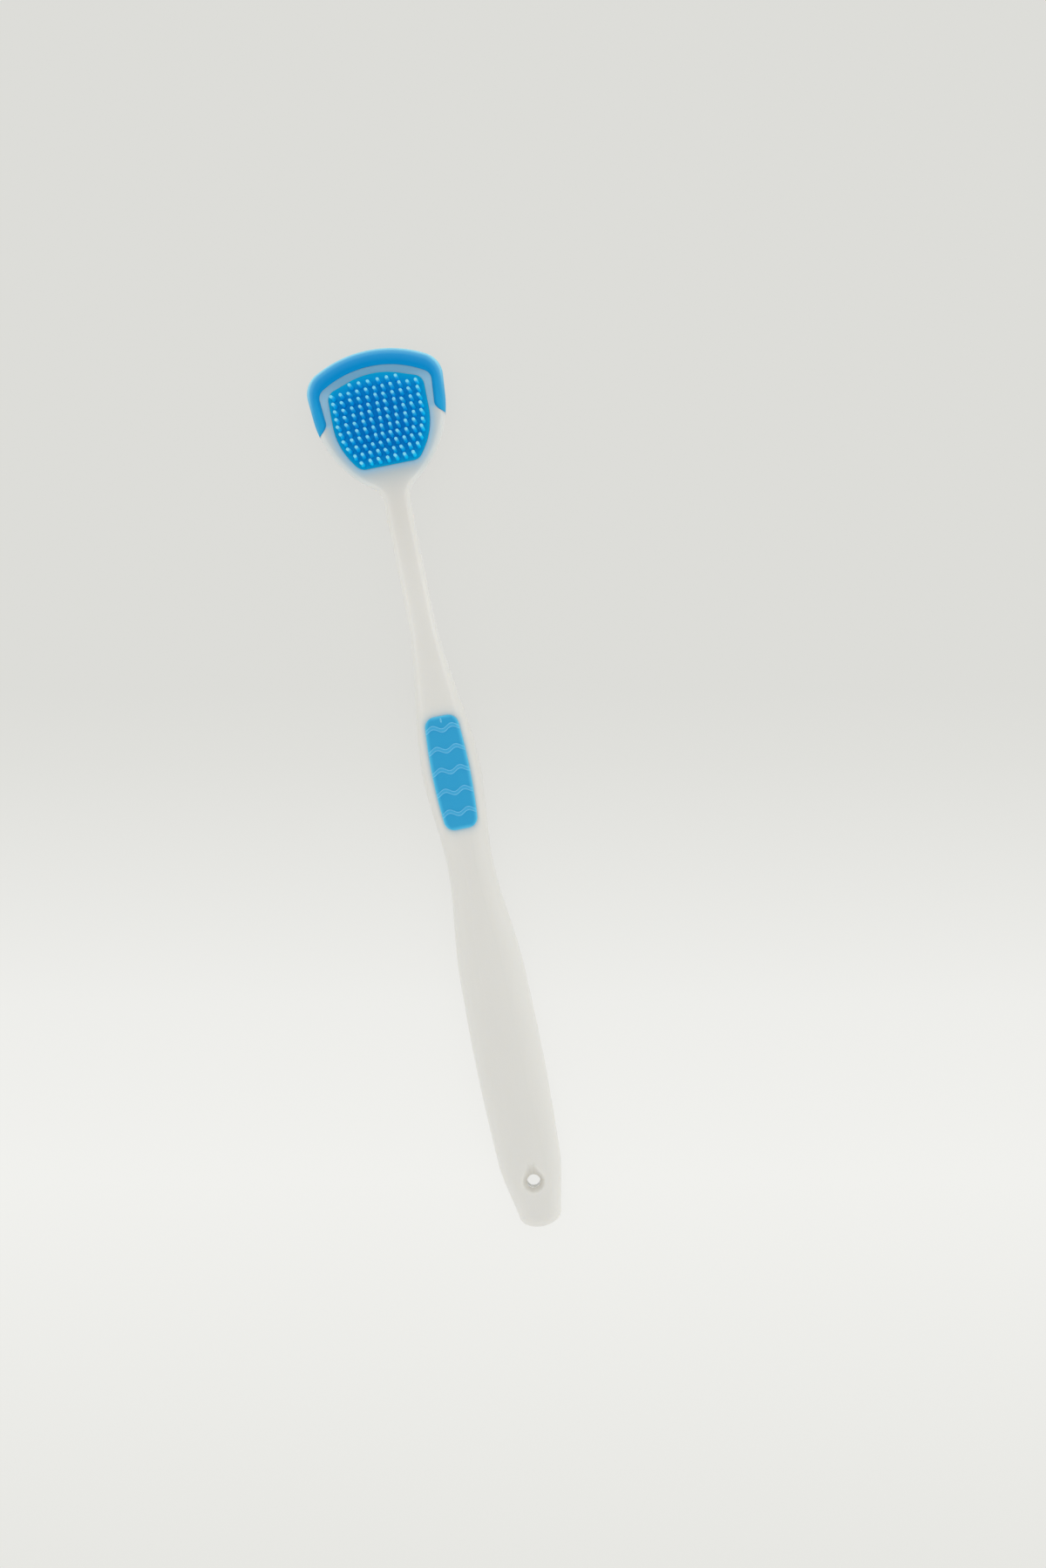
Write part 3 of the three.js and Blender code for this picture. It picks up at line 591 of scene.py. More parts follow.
def teardrop_depth(x, along):
    """How deep the recess round the hanging hole is, with a softly rounded rim."""
    distance = np.hypot(x, along - HOLE_AT)
    angle = np.abs(np.arctan2(x, along - HOLE_AT))
    touch = math.acos(TEARDROP_RADIUS / TEARDROP_POINT)
    rim = TEARDROP_RADIUS / np.cos(np.maximum(0, touch - angle))
    blunt = TEARDROP_REACH / np.cos(np.minimum(angle, touch))
    rim = np.where(angle < touch, np.minimum(rim, blunt), rim)
    inside = (rim - distance) / (rim - HOLE_RADIUS)
    soft = np.clip(inside + TEARDROP_SOFTNESS, 0, 2 * TEARDROP_SOFTNESS) ** 2 / (4 * TEARDROP_SOFTNESS)
    return TEARDROP_DEPTH * np.clip(np.where(inside > TEARDROP_SOFTNESS, inside, soft), 0, 1)


def recess_shade_share(points):
    """How much painted shade a point of the handle's front gets in the recess, from 0 outside it to 1 at
    the bore.
    """
    x, along, height = points.T
    on_front = height > back_at(along) + SEAM_SHARE * thickness_at(along)
    return on_front * (teardrop_depth(x, along) / TEARDROP_DEPTH) ** RECESS_SHADE_FADE


def painted_bore_light_faces(handle):
    """Painted light on the hanging hole's shaded wall: 1 on the wall's faces, 0 on the others."""
    x, along, _ = piece_points(handle).T
    on_wall = np.hypot(x, along - HOLE_AT) < HOLE_RADIUS + FIT_GAP
    return [np.all(on_wall[list(face.vertices)]) for face in handle.data.polygons]


def handle_ring(along):
    """One section across the handle: a front and a back flat joined by rounded edges at the seam."""
    half = handle_half_width(along)
    middle = back_at(along) + SEAM_SHARE * thickness_at(along)
    fullness = end_fullness(along, TAIL[0] / 2)
    front = (front_at(along) - middle) * fullness
    back = (middle - back_at(along)) * fullness
    front_edge = min(front_edge_at(along), EDGE_LIMIT * half)
    back_edge = min(back_edge_at(along), EDGE_LIMIT * half)
    turn = np.concatenate([SEAM_TURNS, np.linspace(EDGE_START, math.pi / 2, EDGE_POINTS)])
    front_x = half - front_edge + front_edge * np.cos(turn)
    back_x = half - back_edge + back_edge * np.cos(turn)
    front_x[0] += SEAM_RIDGE
    front_flat = np.linspace(front_x[-1], -front_x[-1], FRONT_POINTS)[1:-1]
    back_flat = np.linspace(-back_x[-1], back_x[-1], BACK_POINTS)[1:-1]
    front_z = middle + front * np.sin(turn)
    back_z = middle - back * np.sin(turn)
    x = np.concatenate([front_x, front_flat, -front_x[::-1], -back_x[1:], back_flat, back_x[:0:-1]])
    z = np.concatenate([
        front_z,
        np.full(len(front_flat), front_z[-1]),
        front_z[::-1],
        back_z[1:],
        np.full(len(back_flat), back_z[-1]),
        back_z[:0:-1],
    ])
    z = np.where(z > middle, z - teardrop_depth(x, along), z)
    return np.column_stack([x, np.full(len(x), along), z])


def handle_places():
    """Places along the handle, close together where it is rounded, recessed or meets a soft moulding."""
    tail = TAIL[0] * (1 - np.cos(np.radians(TAIL_ANGLES)))
    hole_end = HOLE_AT + TEARDROP_POINT + HOLE_ROOM
    grip_start = THUMB[0] - GRIP_LENGTH / 2 - GRIP_ROOM
    grip_end = THUMB[0] + GRIP_LENGTH / 2 + GRIP_ROOM
    crown = LENGTH - CROWN_ROOM * (1 - np.sin(np.radians(CROWN_ANGLES)))
    return np.concatenate([
        tail,
        spread(TAIL[0], hole_end, HOLE_STEP),
        spread(hole_end, grip_start, PALM_STEP),
        spread(grip_start, grip_end, GRIP_STEP),
        spread(grip_end, neck_end_at, NECK_STEP),
        spread(neck_end_at, LENGTH - CROWN_ROOM, HEAD_STEP),
        crown,
    ])


def bore_cutter():
    """What is cut away for the hanging hole, wider below the back to leave a chamfer."""
    angles = np.arange(HOLE_SIDES) * 2 * math.pi / HOLE_SIDES
    profile = (
        (HOLE_RADIUS, front_at(HOLE_AT) + CUT_ROOM),
        (HOLE_RADIUS, HOLE_BACK_CHAMFER),
        (HOLE_RADIUS + 2 * HOLE_BACK_CHAMFER, -HOLE_BACK_CHAMFER),
    )
    rings = []
    for radius, height in profile:
        along = HOLE_AT + radius * np.cos(angles)
        rings.append(np.column_stack([radius * np.sin(angles), along, np.full(HOLE_SIDES, height)]))
    return loft("bore_cutter", rings)


def make_handle():
    """The handle with its hole and seats, and the numbers that its material needs."""
    handle = loft("white_handle", [handle_ring(along) for along in handle_places()])
    combine(handle, bore_cutter(), "DIFFERENCE")
    combine(handle, along_lip("lip_seat", lip_seat_section, FIT_GAP), "DIFFERENCE")
    combine(handle, pad_seat(), "DIFFERENCE")
    combine(handle, grip_body("grip_seat", FIT_GAP, grip_seat_top), "DIFFERENCE")
    points = piece_points(handle)
    painted_blue_glow = np.where(points[:, 1] < neck_end_at, grip_painted_blue_glow(points), head_painted_blue_glow(points))
    set_values(handle, "painted_blue_glow", painted_blue_glow)
    # rim carries the painted light along the handle's edges
    set_values(handle, "rim", painted_edge_light(points))
    set_values(handle, "painted_shading_where_thin", ease(PAINTED_SHADE_FROM, PAINTED_SHADE_TO, points[:, 1]))
    set_values(handle, "painted_recess_shade", recess_shade_share(points))
    set_values(handle, "painted_bore_light", painted_bore_light_faces(handle), "FACE")
    return handle


def painted_edge_light(points):
    """Painted light at the edges, most at the sides of the slim neck and the head, standing in for light
    let through thin plastic.
    """
    places = handle_places()
    halves = [handle_half_width(along) for along in places]
    half = np.interp(points[:, 1], places, halves)
    inset = np.maximum(half - np.abs(points[:, 0]), 0)
    depth = np.minimum(PAINTED_EDGE_LIGHT_DEPTH, PAINTED_EDGE_LIGHT_SHARE * half)
    slim = ease(THUMB[0], NECK[0], points[:, 1])
    return np.exp(-inset / depth) * (THICK_PAINTED_EDGE_LIGHT + (1 - THICK_PAINTED_EDGE_LIGHT) * slim)


def head_painted_blue_glow(points):
    """How much painted blue glow, standing in for light that the pad and the lip pass into the
    translucent white, colours the head's front beside them.
    """
    head = in_head(points)
    lip_edge = np.array([spot + inward * width for spot, inward, _, width in lip_stations()])
    to_pad = distance_to_line(head[:, :2], closed(pad_outline))
    to_lip = distance_to_line(head[:, :2], lip_edge)
    near_pad = PAD_PAINTED_BLUE_GLOW * np.exp(-to_pad / PAD_PAINTED_BLUE_GLOW_DEPTH)
    crown = ease(lip_corner[1] - LIP_INNER_RADIUS, lip_corner[1] + LIP_INNER_RADIUS, head[:, 1])
    land = SIDE_LAND_PAINTED_BLUE_GLOW + (CROWN_LAND_PAINTED_BLUE_GLOW - SIDE_LAND_PAINTED_BLUE_GLOW) * crown
    inside_lip = ease(-LIP_LENGTH, LIP_END_TAPER - LIP_LENGTH, head[:, 1])
    between = land * inside_lip * ease(LAND_WIDE, LAND_NARROW, to_pad + to_lip)
    facing = ease(-plate_half, plate_half, head[:, 2])
    return np.maximum(near_pad, between) * facing


def grip_painted_blue_glow(points):
    """How much painted blue glow, standing in for light that the grip passes into the translucent white,
    colours the handle's front beside it.
    """
    _, along, height = points.T
    places = np.linspace(-GRIP_LENGTH / 2, GRIP_LENGTH / 2, GRIP_OUTLINE_POINTS) + THUMB[0]
    right = np.column_stack([[grip_half_width(place, 0) for place in places], places])
    grip_outline = np.vstack([right, right[::-1] * (-1, 1)])
    to_grip = distance_to_line(points[:, :2], closed(grip_outline))
    front = ease(front_at(along) - GRIP_DEPTH, front_at(along), height)
    return GRIP_PAINTED_BLUE_GLOW * np.exp(-to_grip / GRIP_PAINTED_BLUE_GLOW_DEPTH) * front


# Scraper lip


def lip_stations():
    """The lip's route along the scraping edge: (spot, inward, way, width) at each station."""
    half = half_width_at(head_outline, -LIP_LENGTH)
    upper = head_outline[head_outline[:, 1] > -LIP_LENGTH]
    stops = np.vstack([[half, -LIP_LENGTH], upper, [-half, -LIP_LENGTH]])
    lengths = np.concatenate([[0], np.cumsum(np.linalg.norm(np.diff(stops, axis=0), axis=1))])
    rounded = LIP_END_TAPER * (1 - np.cos(np.radians(LIP_END_ANGLES)))
    middle = np.linspace(LIP_END_TAPER, lengths[-1] - LIP_END_TAPER, LIP_STATIONS)
    places = np.concatenate([rounded, middle, lengths[-1] - rounded[::-1]])
    spots = np.column_stack([np.interp(places, lengths, stops[:, axis]) for axis in (0, 1)])
    ways = np.gradient(spots, axis=0)
    ways /= np.linalg.norm(ways, axis=1)[:, None]
    stations = []
    for spot, way, place in zip(spots, ways, places):
        inward = np.array([-way[1], way[0]])
        from_end = min(place, lengths[-1] - place)
        full = distance_along(lip_inner_outline, spot, inward)
        width = full * end_fullness(from_end, LIP_END_TAPER)
        stations.append((spot, inward, way, max(LIP_END_WIDTH, width)))
    return stations


def lip_section(width):
    """The lip's section (in from the edge, rise): a round nose, a crest and a slot for the flange."""
    crest = min(LIP_CREST, LIP_CREST_SHARE * width)
    rise = LIP_RISE * min(1, width / LIP_SIDE_WIDTH)
    plate = plate_half * end_fullness(width, HEAD_EDGE)  # a narrow end follows the rounded edge
    top = plate + rise
    inner_top = plate + min(LIP_INNER_RISE, rise)
    slot_half = FLANGE_THICKNESS / 2 + FIT_GAP
    slot_end = min(FLANGE_INSET - FIT_GAP, width - LEAST_STEP)
    rounding = min(LIP_INNER_ROUND, (width - crest) / 2)
    quarter = np.linspace(0, math.pi / 2, LIP_NOSE_POINTS)
    nose = LIP_NOSE_INSET + (crest - LIP_NOSE_INSET) * (1 - np.cos(quarter))
    front = np.column_stack([nose, top * np.sin(quarter)])
    fall = np.linspace(0, 1, LIP_SLOPE_POINTS)[1:]
    slope = np.column_stack([
        crest + (width - rounding - crest) * fall,
        top - (top - inner_top) * ease(0, 1, fall),
    ])
    turn = quarter[LIP_CORNER_STEP::LIP_CORNER_STEP]
    corner = np.column_stack([
        width - rounding * (1 - np.sin(turn)),
        inner_top - rounding * (1 - np.cos(turn)),
    ])
    slot = [(width, slot_half), (slot_end, slot_half), (slot_end, -slot_half), (width, -slot_half)]
    foot = [(width, -plate)]
    back = np.column_stack([nose, -plate * np.sin(quarter)])[:0:-1]
    return np.vstack([front, slope, corner, slot, foot, back])


def lip_seat_section(lip_width):
    """The seat's section: everything outside the land, except the flange."""
    width = lip_width + FIT_GAP
    outside = -2 * LIP_CREST
    high = 2 * HEAD_THICKNESS
    flange_half = FLANGE_THICKNESS / 2
    flange_end = min(FLANGE_INSET, width - LEAST_STEP)
    return np.array([
        (outside, -high),
        (outside, high),
        (width, high),
        (width, flange_half),
        (flange_end, flange_half),
        (flange_end, -flange_half),
        (width, -flange_half),
        (width, -high),
    ])


def along_lip(name, section, end_room):
    """A section carried along the lip's route, its ends moved out by a distance."""
    stations = lip_stations()
    rings = []
    for i, (spot, inward, way, width) in enumerate(stations):
        room = end_room * ((i == len(stations) - 1) - (i == 0))
        profile = section(width)
        flat = spot + profile[:, :1] * inward + way * room
        rings.append(head_points(np.column_stack([flat, profile[:, 1]])))
    return loft(name, rings)


def make_lip():
    """The lip, with how far in from its edge and near the crown each point lies."""
    lip = along_lip("soft_lip", lip_section, 0)
    shares = [lip_section(width)[:, 0] / width for _, _, _, width in lip_stations()]
    set_values(lip, "inset", np.concatenate(shares))
    set_values(lip, "crown", ease(-LIP_LENGTH, -LIP_CROWN_WIDTH, in_head(piece_points(lip))[:, 1]))
    return lip


# Bristle pad


def pad_seat():
    outline = grown_outline(pad_outline, FIT_GAP)
    rises = (plate_half - PAD_DEPTH - FIT_GAP, HEAD_THICKNESS)
    rings = [head_points(np.column_stack([outline, np.full(len(outline), rise)])) for rise in rises]
    return loft("pad_seat", rings)


def pad_slab():
    """The pad's body: straight sides, a rounded edge and a flat face."""
    top = plate_half + PAD_RISE
    levels = [(0, plate_half - PAD_DEPTH), (0, top - PAD_EDGE_ROUND)]
    for angle in np.linspace(0, math.pi / 2, PAD_EDGE_POINTS)[1:]:
        inset = PAD_EDGE_ROUND * (1 - math.cos(angle))
        levels.append((inset, top - PAD_EDGE_ROUND * (1 - math.sin(angle))))
    rings = []
    for inset, rise in levels:
        outline = grown_outline(pad_outline, -inset)
        rings.append(np.column_stack([outline, np.full(len(outline), rise)]))
    edge = rings[-1]
    middle = np.array([0, (pad_crown + pad_foot) / 2, top])
    rings.extend(middle + (edge - middle) * share for share in PAD_FACE_SHARES)
    return loft("soft_pad", [head_points(ring) for ring in rings])


def nub_row_half_span(reach):
    """The furthest from the middle line that a nub stands in a row and keeps its margin to the edge."""
    side = half_width_at(pad_outline, reach) - NUB_SIDE_MARGIN
    return min(side, half_width_at(pad_outline, reach + NUB_CROWN_MARGIN))


def nub_places():
    """Where the nubs stand, in rows from the crown to the foot."""
    first_row = pad_crown - NUB_FIRST_ROW
    last_row = pad_foot + NUB_FOOT_MARGIN
    reaches = np.linspace(first_row, last_row, len(NUB_ROW_COUNTS))
    for reach, count in zip(reaches, NUB_ROW_COUNTS):
        half_span = nub_row_half_span(reach)
        for x in np.linspace(-half_span, half_span, count):
            yield x, reach


def nub_profile():
    """A nub's (height, radius) from its root up: a flared foot, a slight taper and a dimpled tip."""
    shoulder = NUB_LENGTH - NUB_TIP_ROUND * NUB_TIP_RADIUS
    profile = [(-NUB_ROOT, NUB_BASE_RADIUS + NUB_FOOT_FLARE)]
    for height in NUB_FOOT_HEIGHTS:
        flare = NUB_FOOT_FLARE * max(0, 1 - height / NUB_FOOT_HEIGHTS[-1]) ** 2
        profile.append((height, NUB_BASE_RADIUS + flare))
    profile.append((shoulder / 2, (NUB_BASE_RADIUS + NUB_TIP_RADIUS) / 2))
    for angle in np.radians(NUB_TIP_ANGLES):
        height = shoulder + (NUB_LENGTH - shoulder) * math.sin(angle)
        share = 1 - NUB_TIP_ROUND + NUB_TIP_ROUND * math.cos(angle)
        profile.append((height, NUB_TIP_RADIUS * share))
    profile.append((NUB_LENGTH, NUB_TIP_RADIUS * NUB_DIMPLE_RIM))
    profile.append((NUB_LENGTH - NUB_DIMPLE, NUB_TIP_RADIUS * NUB_DIMPLE_FLOOR))
    return profile


def make_nubs():
    """All nubs as one mesh of separate solids, each bending a little its own way."""
    angles = np.arange(NUB_SIDES) * 2 * math.pi / NUB_SIDES
    profile = nub_profile()
    rings, faces = [], []
    for x, reach in nub_places():
        across = x / pad_half
        down = 2 * (reach - pad_foot) / (pad_crown - pad_foot) - 1
        nod = NUB_NOD * (1 - across ** 2) * (1 - down ** 2)
        lean_x = NUB_LEAN + NUB_EDGE_LEAN * max(0, -across) ** 3 + rng.gauss(0, NUB_WANDER)
        lean_y = NUB_TWIST * across + nod + rng.gauss(0, NUB_WANDER)
        faces += skin_faces(len(rings) * NUB_SIDES, len(profile), NUB_SIDES)
        for height, radius in profile:
            bend = max(0, height) ** 2 / NUB_LENGTH
            ring_x = x + bend * math.tan(lean_x) + radius * np.cos(angles)
            ring_y = reach + bend * math.tan(lean_y) + radius * np.sin(angles)
            rise = np.full(NUB_SIDES, plate_half + PAD_RISE + height)
            rings.append(np.column_stack([ring_x, ring_y, rise]))
    return new_piece("nubs", head_points(np.vstack(rings)), faces)


def make_pad():
    """The pad and its nubs, with how far up a nub and in from the edge each point lies."""
    pad = pad_slab()
    combine(pad, make_nubs(), "UNION")
    head = in_head(piece_points(pad))
    top = plate_half + PAD_RISE
    edge = distance_to_line(head[:, :2], closed(pad_outline))
    set_values(pad, "height", np.clip((head[:, 2] - top) / NUB_LENGTH, 0, 1))
    set_values(pad, "inset", np.clip(edge / pad_half, 0, 1))
    return pad


# Thumb grip


def grip_half_width(along, grow):
    """Half the grip's width: a barrel with rounded corners, grown all round for its seat."""
    from_middle = abs(along - THUMB[0])
    from_end = max(0, GRIP_LENGTH / 2 + grow - from_middle)
    corner = GRIP_CORNER + grow
    share = from_middle / (GRIP_LENGTH / 2)
    barrel = GRIP_WIDTH / 2 - GRIP_TAPER * share * share + grow
    return barrel - corner * (1 - end_fullness(from_end, corner))


def wave_share(x, along):
    """How far up a flat-topped wave a point lies, from 0 between the waves to 1 on a crest."""
    route = along + WAVE_SWING * np.cos(2 * math.pi * x / WAVE_LENGTH) - THUMB[0] - WAVE_SHIFT
    wave = np.clip(np.round(route / WAVE_PITCH), -(WAVE_COUNT // 2), WAVE_COUNT // 2)
    off = np.abs(route - wave * WAVE_PITCH) / (WAVE_WIDTH / 2)
    return 1 - ease(WAVE_FLAT, 1, off)


def gate_share(x, along):
    """The moulding gate's small mark at the head end of the grip."""
    place = THUMB[0] + GRIP_LENGTH / 2 - GATE_INSET
    off = np.hypot(x / (GATE_WIDTH / 2), (along - place) / (GATE_LENGTH / 2))
    return np.cos(np.clip(off, 0, 1) * math.pi / 2) ** 2


def grip_top(x, along):
    """The grip's crowned surface with its rounded edge, waves and gate mark."""
    half = grip_half_width(along, 0)
    from_end = GRIP_LENGTH / 2 - abs(along - THUMB[0])
    lean_in = np.maximum(0, GRIP_EDGE_ROUND - (half - np.abs(x)))
    lean_end = max(0, GRIP_EDGE_ROUND - from_end)
    edge = np.minimum(GRIP_EDGE_ROUND, np.hypot(lean_in, lean_end))
    drop = GRIP_EDGE_ROUND - np.sqrt(GRIP_EDGE_ROUND ** 2 - edge ** 2)
    across = np.clip(np.abs(x) / max(half, GRIP_EDGE_ROUND), 0, 1)
    dome = GRIP_DOME * (1 - across ** 2) * end_fullness(from_end, GRIP_LENGTH / 2)
    raised = WAVE_HEIGHT * wave_share(x, along) + GATE_HEIGHT * gate_share(x, along)
    return front_at(along) + GRIP_EDGE_RISE + dome - drop + raised * (1 - drop / GRIP_EDGE_ROUND)


def grip_seat_top(x, along):
    """The top of what is cut away for the grip, well over the handle."""
    return np.full(len(x), front_at(along) + SEAT_ROOM)


def grip_places(grow):
    """Places along the grip, close together at its rounded ends."""
    reach = GRIP_LENGTH / 2 + grow
    corner = GRIP_CORNER + grow
    round_end = -reach + corner * (1 - np.cos(np.radians(GRIP_END_ANGLES)))
    offsets = np.concatenate([round_end, spread(corner - reach, 0, GRIP_ALONG_STEP)])
    return THUMB[0] + np.concatenate([offsets, [0], -offsets[::-1]])


def grip_body(name, grow, top_at):
    """The grip, or its seat when it is grown all round: a floor in the handle and a shaped top."""
    across = np.cos(np.linspace(0, math.pi, GRIP_ACROSS_POINTS))
    rings = []
    for along in grip_places(grow):
        half = grip_half_width(along, grow)
        floor = front_at(along) - GRIP_DEPTH - grow
        x = np.concatenate([[-half, half], half * across])
        z = np.concatenate([[floor, floor], top_at(half * across, along)])
        rings.append(np.column_stack([x, np.full(len(x), along), z]))
    return loft(name, rings)


def make_grip():
    """The grip, with how far up a wave and in from the edge each point lies."""
    grip = grip_body("soft_grip", 0, grip_top)
    x, along, _ = piece_points(grip).T
    half = np.array([grip_half_width(place, 0) for place in along])
    inset = np.minimum(half - np.abs(x), GRIP_LENGTH / 2 - np.abs(along - THUMB[0]))
    set_values(grip, "ridge", np.maximum(wave_share(x, along), gate_share(x, along)))
    set_values(grip, "inset", np.clip(inset / (GRIP_WIDTH / 2), 0, 1))
    return grip


# Materials


class Nodes:
    """Builds a material's nodes."""

    def __init__(self, name):
        self.material = bpy.data.materials.new(name)
        self.material.use_nodes = True
        self.tree = self.material.node_tree
        self.shader = self.tree.nodes["Principled BSDF"]

    def feed(self, node, inputs):
        """Links outputs of other nodes, or gives fixed values, to a node's inputs."""
        for key, value in inputs.items():
            if isinstance(value, bpy.types.NodeSocket):
                self.tree.links.new(value, node.inputs[key])
            else:
                node.inputs[key].default_value = value

    def add(self, kind, inputs=None, **settings):
        """A new node of a kind, with its settings and inputs."""
        made = self.tree.nodes.new(kind)
        for key, value in settings.items():
            setattr(made, key, value)
        self.feed(made, inputs or {})
        return made

    def value(self, name):
        """A named number that the mesh holds."""
        return self.add("ShaderNodeAttribute", attribute_name=name).outputs["Fac"]

    def noise(self, scale, detail=2, stretch=(1, 1, 1)):
        """Noise in the part's own coordinates, with features about 1 / scale metres across."""
        place = self.add("ShaderNodeTexCoord").outputs["Object"]
        mapped = self.add("ShaderNodeMapping", {"Vector": place, "Scale": stretch}).outputs["Vector"]
        inputs = {"Vector": mapped, "Scale": scale, "Detail": detail}
        return self.add("ShaderNodeTexNoise", inputs).outputs["Fac"]

    def ramp(self, factor, *stops):
        """Colours at shares from 0 to 1, blended between."""
        made = self.add("ShaderNodeValToRGB", {"Fac": factor})
        elements = made.color_ramp.elements
        while len(elements) < len(stops):
            elements.new(0.5)
        for element, (position, colour) in zip(elements, stops):
            element.position = position
            element.color = colour
        return made.outputs["Color"]

    def shares(self, factor, *stops):
        """Numbers at shares from 0 to 1, blended between."""
        return self.ramp(factor, *[(position, (share, share, share, 1)) for position, share in stops])

    def times(self, first, second):
        return self.add("ShaderNodeMath", {0: first, 1: second}, operation="MULTIPLY").outputs["Value"]

    def plus(self, first, second):
        return self.add("ShaderNodeMath", {0: first, 1: second}, operation="ADD").outputs["Value"]

    def mix(self, factor, first, second):
        """Two colours mixed by a factor from 0 to 1."""
        inputs = dict(zip(MIX_INPUTS, (factor, first, second)))
        return self.add("ShaderNodeMix", inputs, data_type="RGBA").outputs[MIX_OUTPUT]

    def range(self, value, low, high):
        """A number from 0 to 1 moved to a range."""
        inputs = {"Value": value, "To Min": low, "To Max": high}
        return self.add("ShaderNodeMapRange", inputs).outputs["Result"]

    def bump(self, height, distance):
        """A fine relief of a height between 0 and 1 times a distance."""
        inputs = {"Height": height, "Distance": distance, "Strength": 1.0}
        return self.add("ShaderNodeBump", inputs).outputs["Normal"]

    def surface(self, inputs):
        """The finished material."""
        self.feed(self.shader, inputs)
        return self.material


def white_plastic():
    """Satin plastic with painted light at its edges and on the hole's wall, painted shade towards the
    head end of the neck and in the hole's recess, and a painted blue glow beside the soft parts.
    """
    nodes = Nodes("white_plastic")
    cloud = nodes.noise(scale=45, detail=3, stretch=(1, 0.35, 1))
    middle = nodes.ramp(cloud, (0.3, srgb(217, 216, 212)), (0.7, srgb(221, 220, 216)))
    # painted shade darkening the neck towards the head
    neck_shaded = nodes.mix(nodes.value("painted_shading_where_thin"), middle, srgb(212, 210, 205))
    # painted light along the handle's edges
    edge_lit = nodes.mix(nodes.value("rim"), neck_shaded, srgb(233, 233, 230))
    # painted shade in the hanging hole's recess
    recess_shaded = nodes.mix(nodes.value("painted_recess_shade"), edge_lit, srgb(208, 205, 197))
    # painted light on the hanging hole's shaded wall
    bore_lit = nodes.mix(nodes.value("painted_bore_light"), recess_shaded, srgb(250, 250, 246))
    painted_blue_glow = nodes.value("painted_blue_glow")
    # painted blue glow beside the soft mouldings
    blue_glow_colour = nodes.ramp(
        painted_blue_glow,
        (0.2, srgb(70, 150, 180)),
        (0.5, srgb(54, 182, 230)),
        (0.85, srgb(88, 159, 197)),
    )
    grain = nodes.noise(scale=5200)
    return nodes.surface({
        "Base Color": nodes.mix(painted_blue_glow, bore_lit, blue_glow_colour),
        "Roughness": nodes.range(nodes.noise(scale=420, detail=4), 0.34, 0.46),
        "Specular IOR Level": 0.3,
        "Subsurface Weight": 0.5,
        "Subsurface Radius": (0.0016, 0.0015, 0.0013),
        "Subsurface Scale": 1.0,
        "Normal": nodes.bump(grain, distance=0.000012),
    })


def soft_blue(name, colour_from, glow):
    """Soft elastomer that scatters light inside, whose colour is made by a function of its nodes."""
    nodes = Nodes(name)
    grain = nodes.noise(scale=6500, detail=3)
    return nodes.surface({
        "Base Color": colour_from(nodes),
        "Roughness": nodes.range(nodes.noise(scale=600, detail=3), 0.45, 0.6),
        "Specular IOR Level": 0.04,
        "Subsurface Weight": glow,
        "Subsurface Radius": (0.0006, 0.001, 0.0013),
        "Subsurface Scale": 1.0,
        "Normal": nodes.bump(grain, distance=0.00001),
    })


def lip_colour(nodes):
    """Deep blue at the inner edge, with a painted glow where the lip gets thin towards the scraping
    edge, strongest at the crown.
    """
    crown = nodes.value("crown")
    deep = nodes.ramp(crown, (0, srgb(30, 156, 210)), (1, srgb(0, 142, 206)))
    # share of the painted glow of the thin edge
    painted_shading_where_thin = nodes.shares(
        nodes.value("inset"),
        (0, 0.65),
        (0.13, 0.85),
        (0.28, 0.28),
        (0.5, 0.06),
        (0.8, 0),
    )
    glow = nodes.range(nodes.times(crown, crown), 0.15, 1)
    return nodes.mix(nodes.times(painted_shading_where_thin, glow), deep, srgb(166, 236, 255))


def pad_colour(nodes):
    """Painted shade deepest in the middle of the pad, a painted glow at its edge, and painted light
    growing up each nub to its tip.
    """
    # painted glow at the pad's edge, painted shade in its middle
    face = nodes.ramp(
        nodes.value("inset"),
        (0, srgb(0, 160, 212)),
        (0.2, srgb(0, 149, 213)),
        (0.6, srgb(0, 141, 212)),
    )
    height = nodes.value("height")
    # painted light up each nub, brightest at the tip
    nub_painted_light = nodes.ramp(
        height,
        (0.15, srgb(0, 184, 241)),
        (0.5, srgb(14, 190, 243)),
        (0.8, srgb(70, 192, 238)),
        (1, srgb(132, 212, 238)),
    )
    return nodes.mix(nodes.shares(height, (0, 0), (0.15, 1)), face, nub_painted_light)


def grip_colour(nodes):
    """Plain blue, with painted light at its edge and painted highlights along both flanks of each wave
    and on the gate's mark.
    """
    # painted light at the grip's edge
    face = nodes.ramp(
        nodes.value("inset"),
        (0, srgb(110, 204, 236)),
        (0.07, srgb(76, 178, 220)),
        (0.2, srgb(53, 158, 206)),
    )
    # painted highlights on the waves' flanks and the gate's mark
    flank_highlight = nodes.shares(
        nodes.value("ridge"),
        (0, 0),
        (0.15, 0.25),
        (0.5, 0.72),
        (0.85, 0.3),
        (1, 0.12),
    )
    return nodes.mix(flank_highlight, face, srgb(140, 212, 244))


# Stage


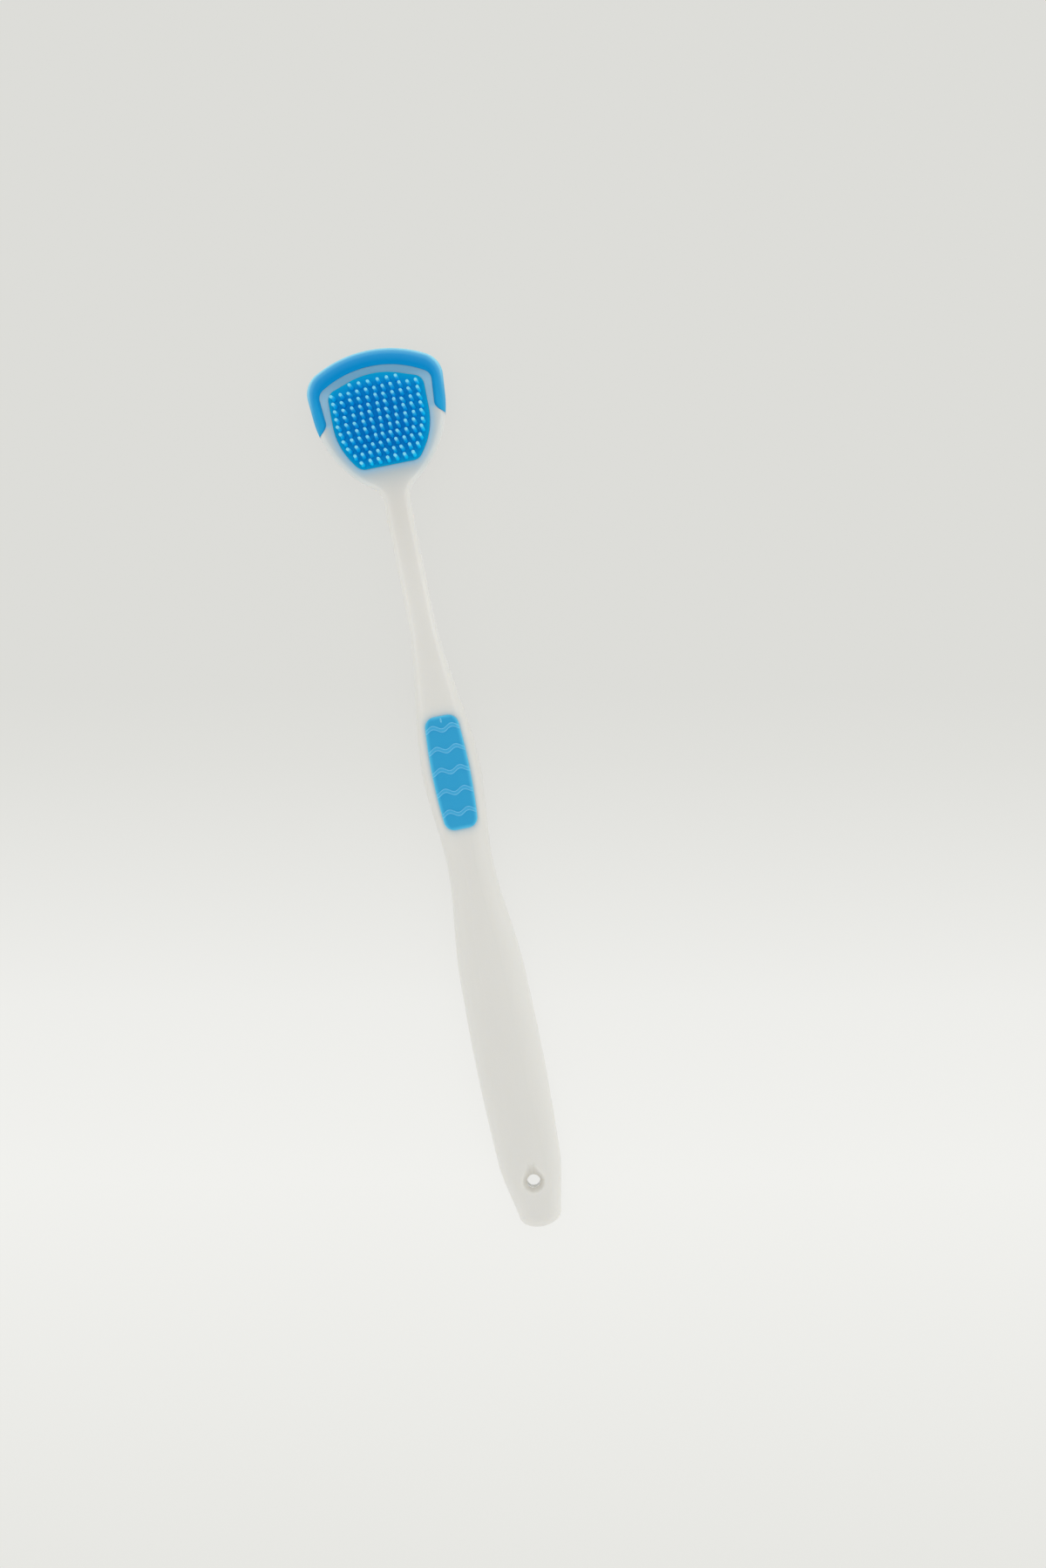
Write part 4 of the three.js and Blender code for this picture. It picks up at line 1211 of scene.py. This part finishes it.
def pale_floor():
    """A pale studio floor with painted light, lighter under the hanging end, whose own colour the camera
    mostly sees.
    """
    nodes = Nodes("pale_floor")
    place = nodes.add("ShaderNodeTexCoord").outputs["Object"]
    along = nodes.add("ShaderNodeSeparateXYZ", {"Vector": place}).outputs["Y"]
    fade = {"Value": along, "From Min": FLOOR_FADE[0], "From Max": FLOOR_FADE[1]}
    # painted light that falls off towards the head end of the picture
    colour = nodes.ramp(
        nodes.add("ShaderNodeMapRange", fade).outputs["Result"],
        (0, srgb(231, 231, 227)),
        (0.45, srgb(241, 241, 238)),
        (0.65, srgb(238, 238, 235)),
        (0.92, srgb(224, 224, 220)),
        (1, srgb(221, 221, 217)),
    )
    lit = nodes.add("ShaderNodeBsdfDiffuse", {"Color": colour}).outputs["BSDF"]
    glow = nodes.add("ShaderNodeEmission", {"Color": colour}).outputs["Emission"]
    path = nodes.add("ShaderNodeLightPath").outputs
    reflected = nodes.plus(path["Is Glossy Ray"], path["Is Transmission Ray"])
    seen = nodes.plus(path["Is Camera Ray"], reflected)
    share = nodes.range(seen, 0, FLOOR_GLOW)
    mixed = nodes.add("ShaderNodeMixShader", {0: share, 1: lit, 2: glow})
    output = nodes.tree.nodes["Material Output"]
    nodes.tree.links.new(mixed.outputs["Shader"], output.inputs["Surface"])
    nodes.tree.nodes.remove(nodes.shader)
    return nodes.material


def make_floor():
    """A flat floor, turned with the camera so that its colours change up the picture."""
    mesh = bpy.data.meshes.new("floor")
    corners = [(x * FLOOR_HALF, y * FLOOR_HALF, 0) for x, y in ((-1, -1), (1, -1), (1, 1), (-1, 1))]
    mesh.from_pydata(corners, [], [(0, 1, 2, 3)])
    mesh.materials.append(pale_floor())
    floor = bpy.data.objects.new("floor", mesh)
    floor.rotation_euler = CAMERA_TURN
    bpy.context.scene.collection.objects.link(floor)


def make_key_light():
    """A large, soft lamp at the right, aimed at the middle of the brush."""
    lamp = bpy.data.lights.new("key", "AREA")
    lamp.shape = "DISK"
    lamp.size = KEY_SIZE
    lamp.energy = KEY_POWER
    light = bpy.data.objects.new("key", lamp)
    light.location = KEY_PLACE
    light.rotation_euler = (-Vector(KEY_PLACE)).to_track_quat("-Z", "Y").to_euler()
    bpy.context.scene.collection.objects.link(light)


def make_world():
    """Light from all round, stronger near the horizon than overhead, as in a light tent."""
    world = bpy.data.worlds.new("light_tent")
    world.use_nodes = True
    tree = world.node_tree
    way = tree.nodes.new("ShaderNodeTexCoord").outputs["Generated"]
    split = tree.nodes.new("ShaderNodeSeparateXYZ")
    tree.links.new(way, split.inputs["Vector"])
    strength = tree.nodes.new("ShaderNodeMapRange")
    tree.links.new(split.outputs["Z"], strength.inputs["Value"])
    strength.inputs["To Min"].default_value = HORIZON_LIGHT
    strength.inputs["To Max"].default_value = ZENITH_LIGHT
    background = tree.nodes["Background"]
    background.inputs["Color"].default_value = srgb(254, 254, 252)
    tree.links.new(strength.outputs["Result"], background.inputs["Strength"])
    bpy.context.scene.world = world


def make_camera():
    data = bpy.data.cameras.new("camera")
    data.lens = CAMERA_LENS
    data.clip_start = CAMERA_NEAR
    camera = bpy.data.objects.new("camera", data)
    camera.location = np.array(CAMERA_PLACE) * MM
    camera.rotation_euler = CAMERA_TURN
    bpy.context.scene.collection.objects.link(camera)
    bpy.context.scene.camera = camera


make_camera()
finish_piece(make_handle(), white_plastic(), "handle")
finish_piece(make_lip(), soft_blue("lip_rubber", lip_colour, LIP_GLOW), "scraper_lip")
finish_piece(make_pad(), soft_blue("pad_rubber", pad_colour, PAD_GLOW), "bristle_pad")
finish_piece(make_grip(), soft_blue("grip_rubber", grip_colour, GRIP_GLOW), "thumb_grip")
make_floor()
make_world()
make_key_light()
bpy.context.scene.view_settings.view_transform = "Standard"
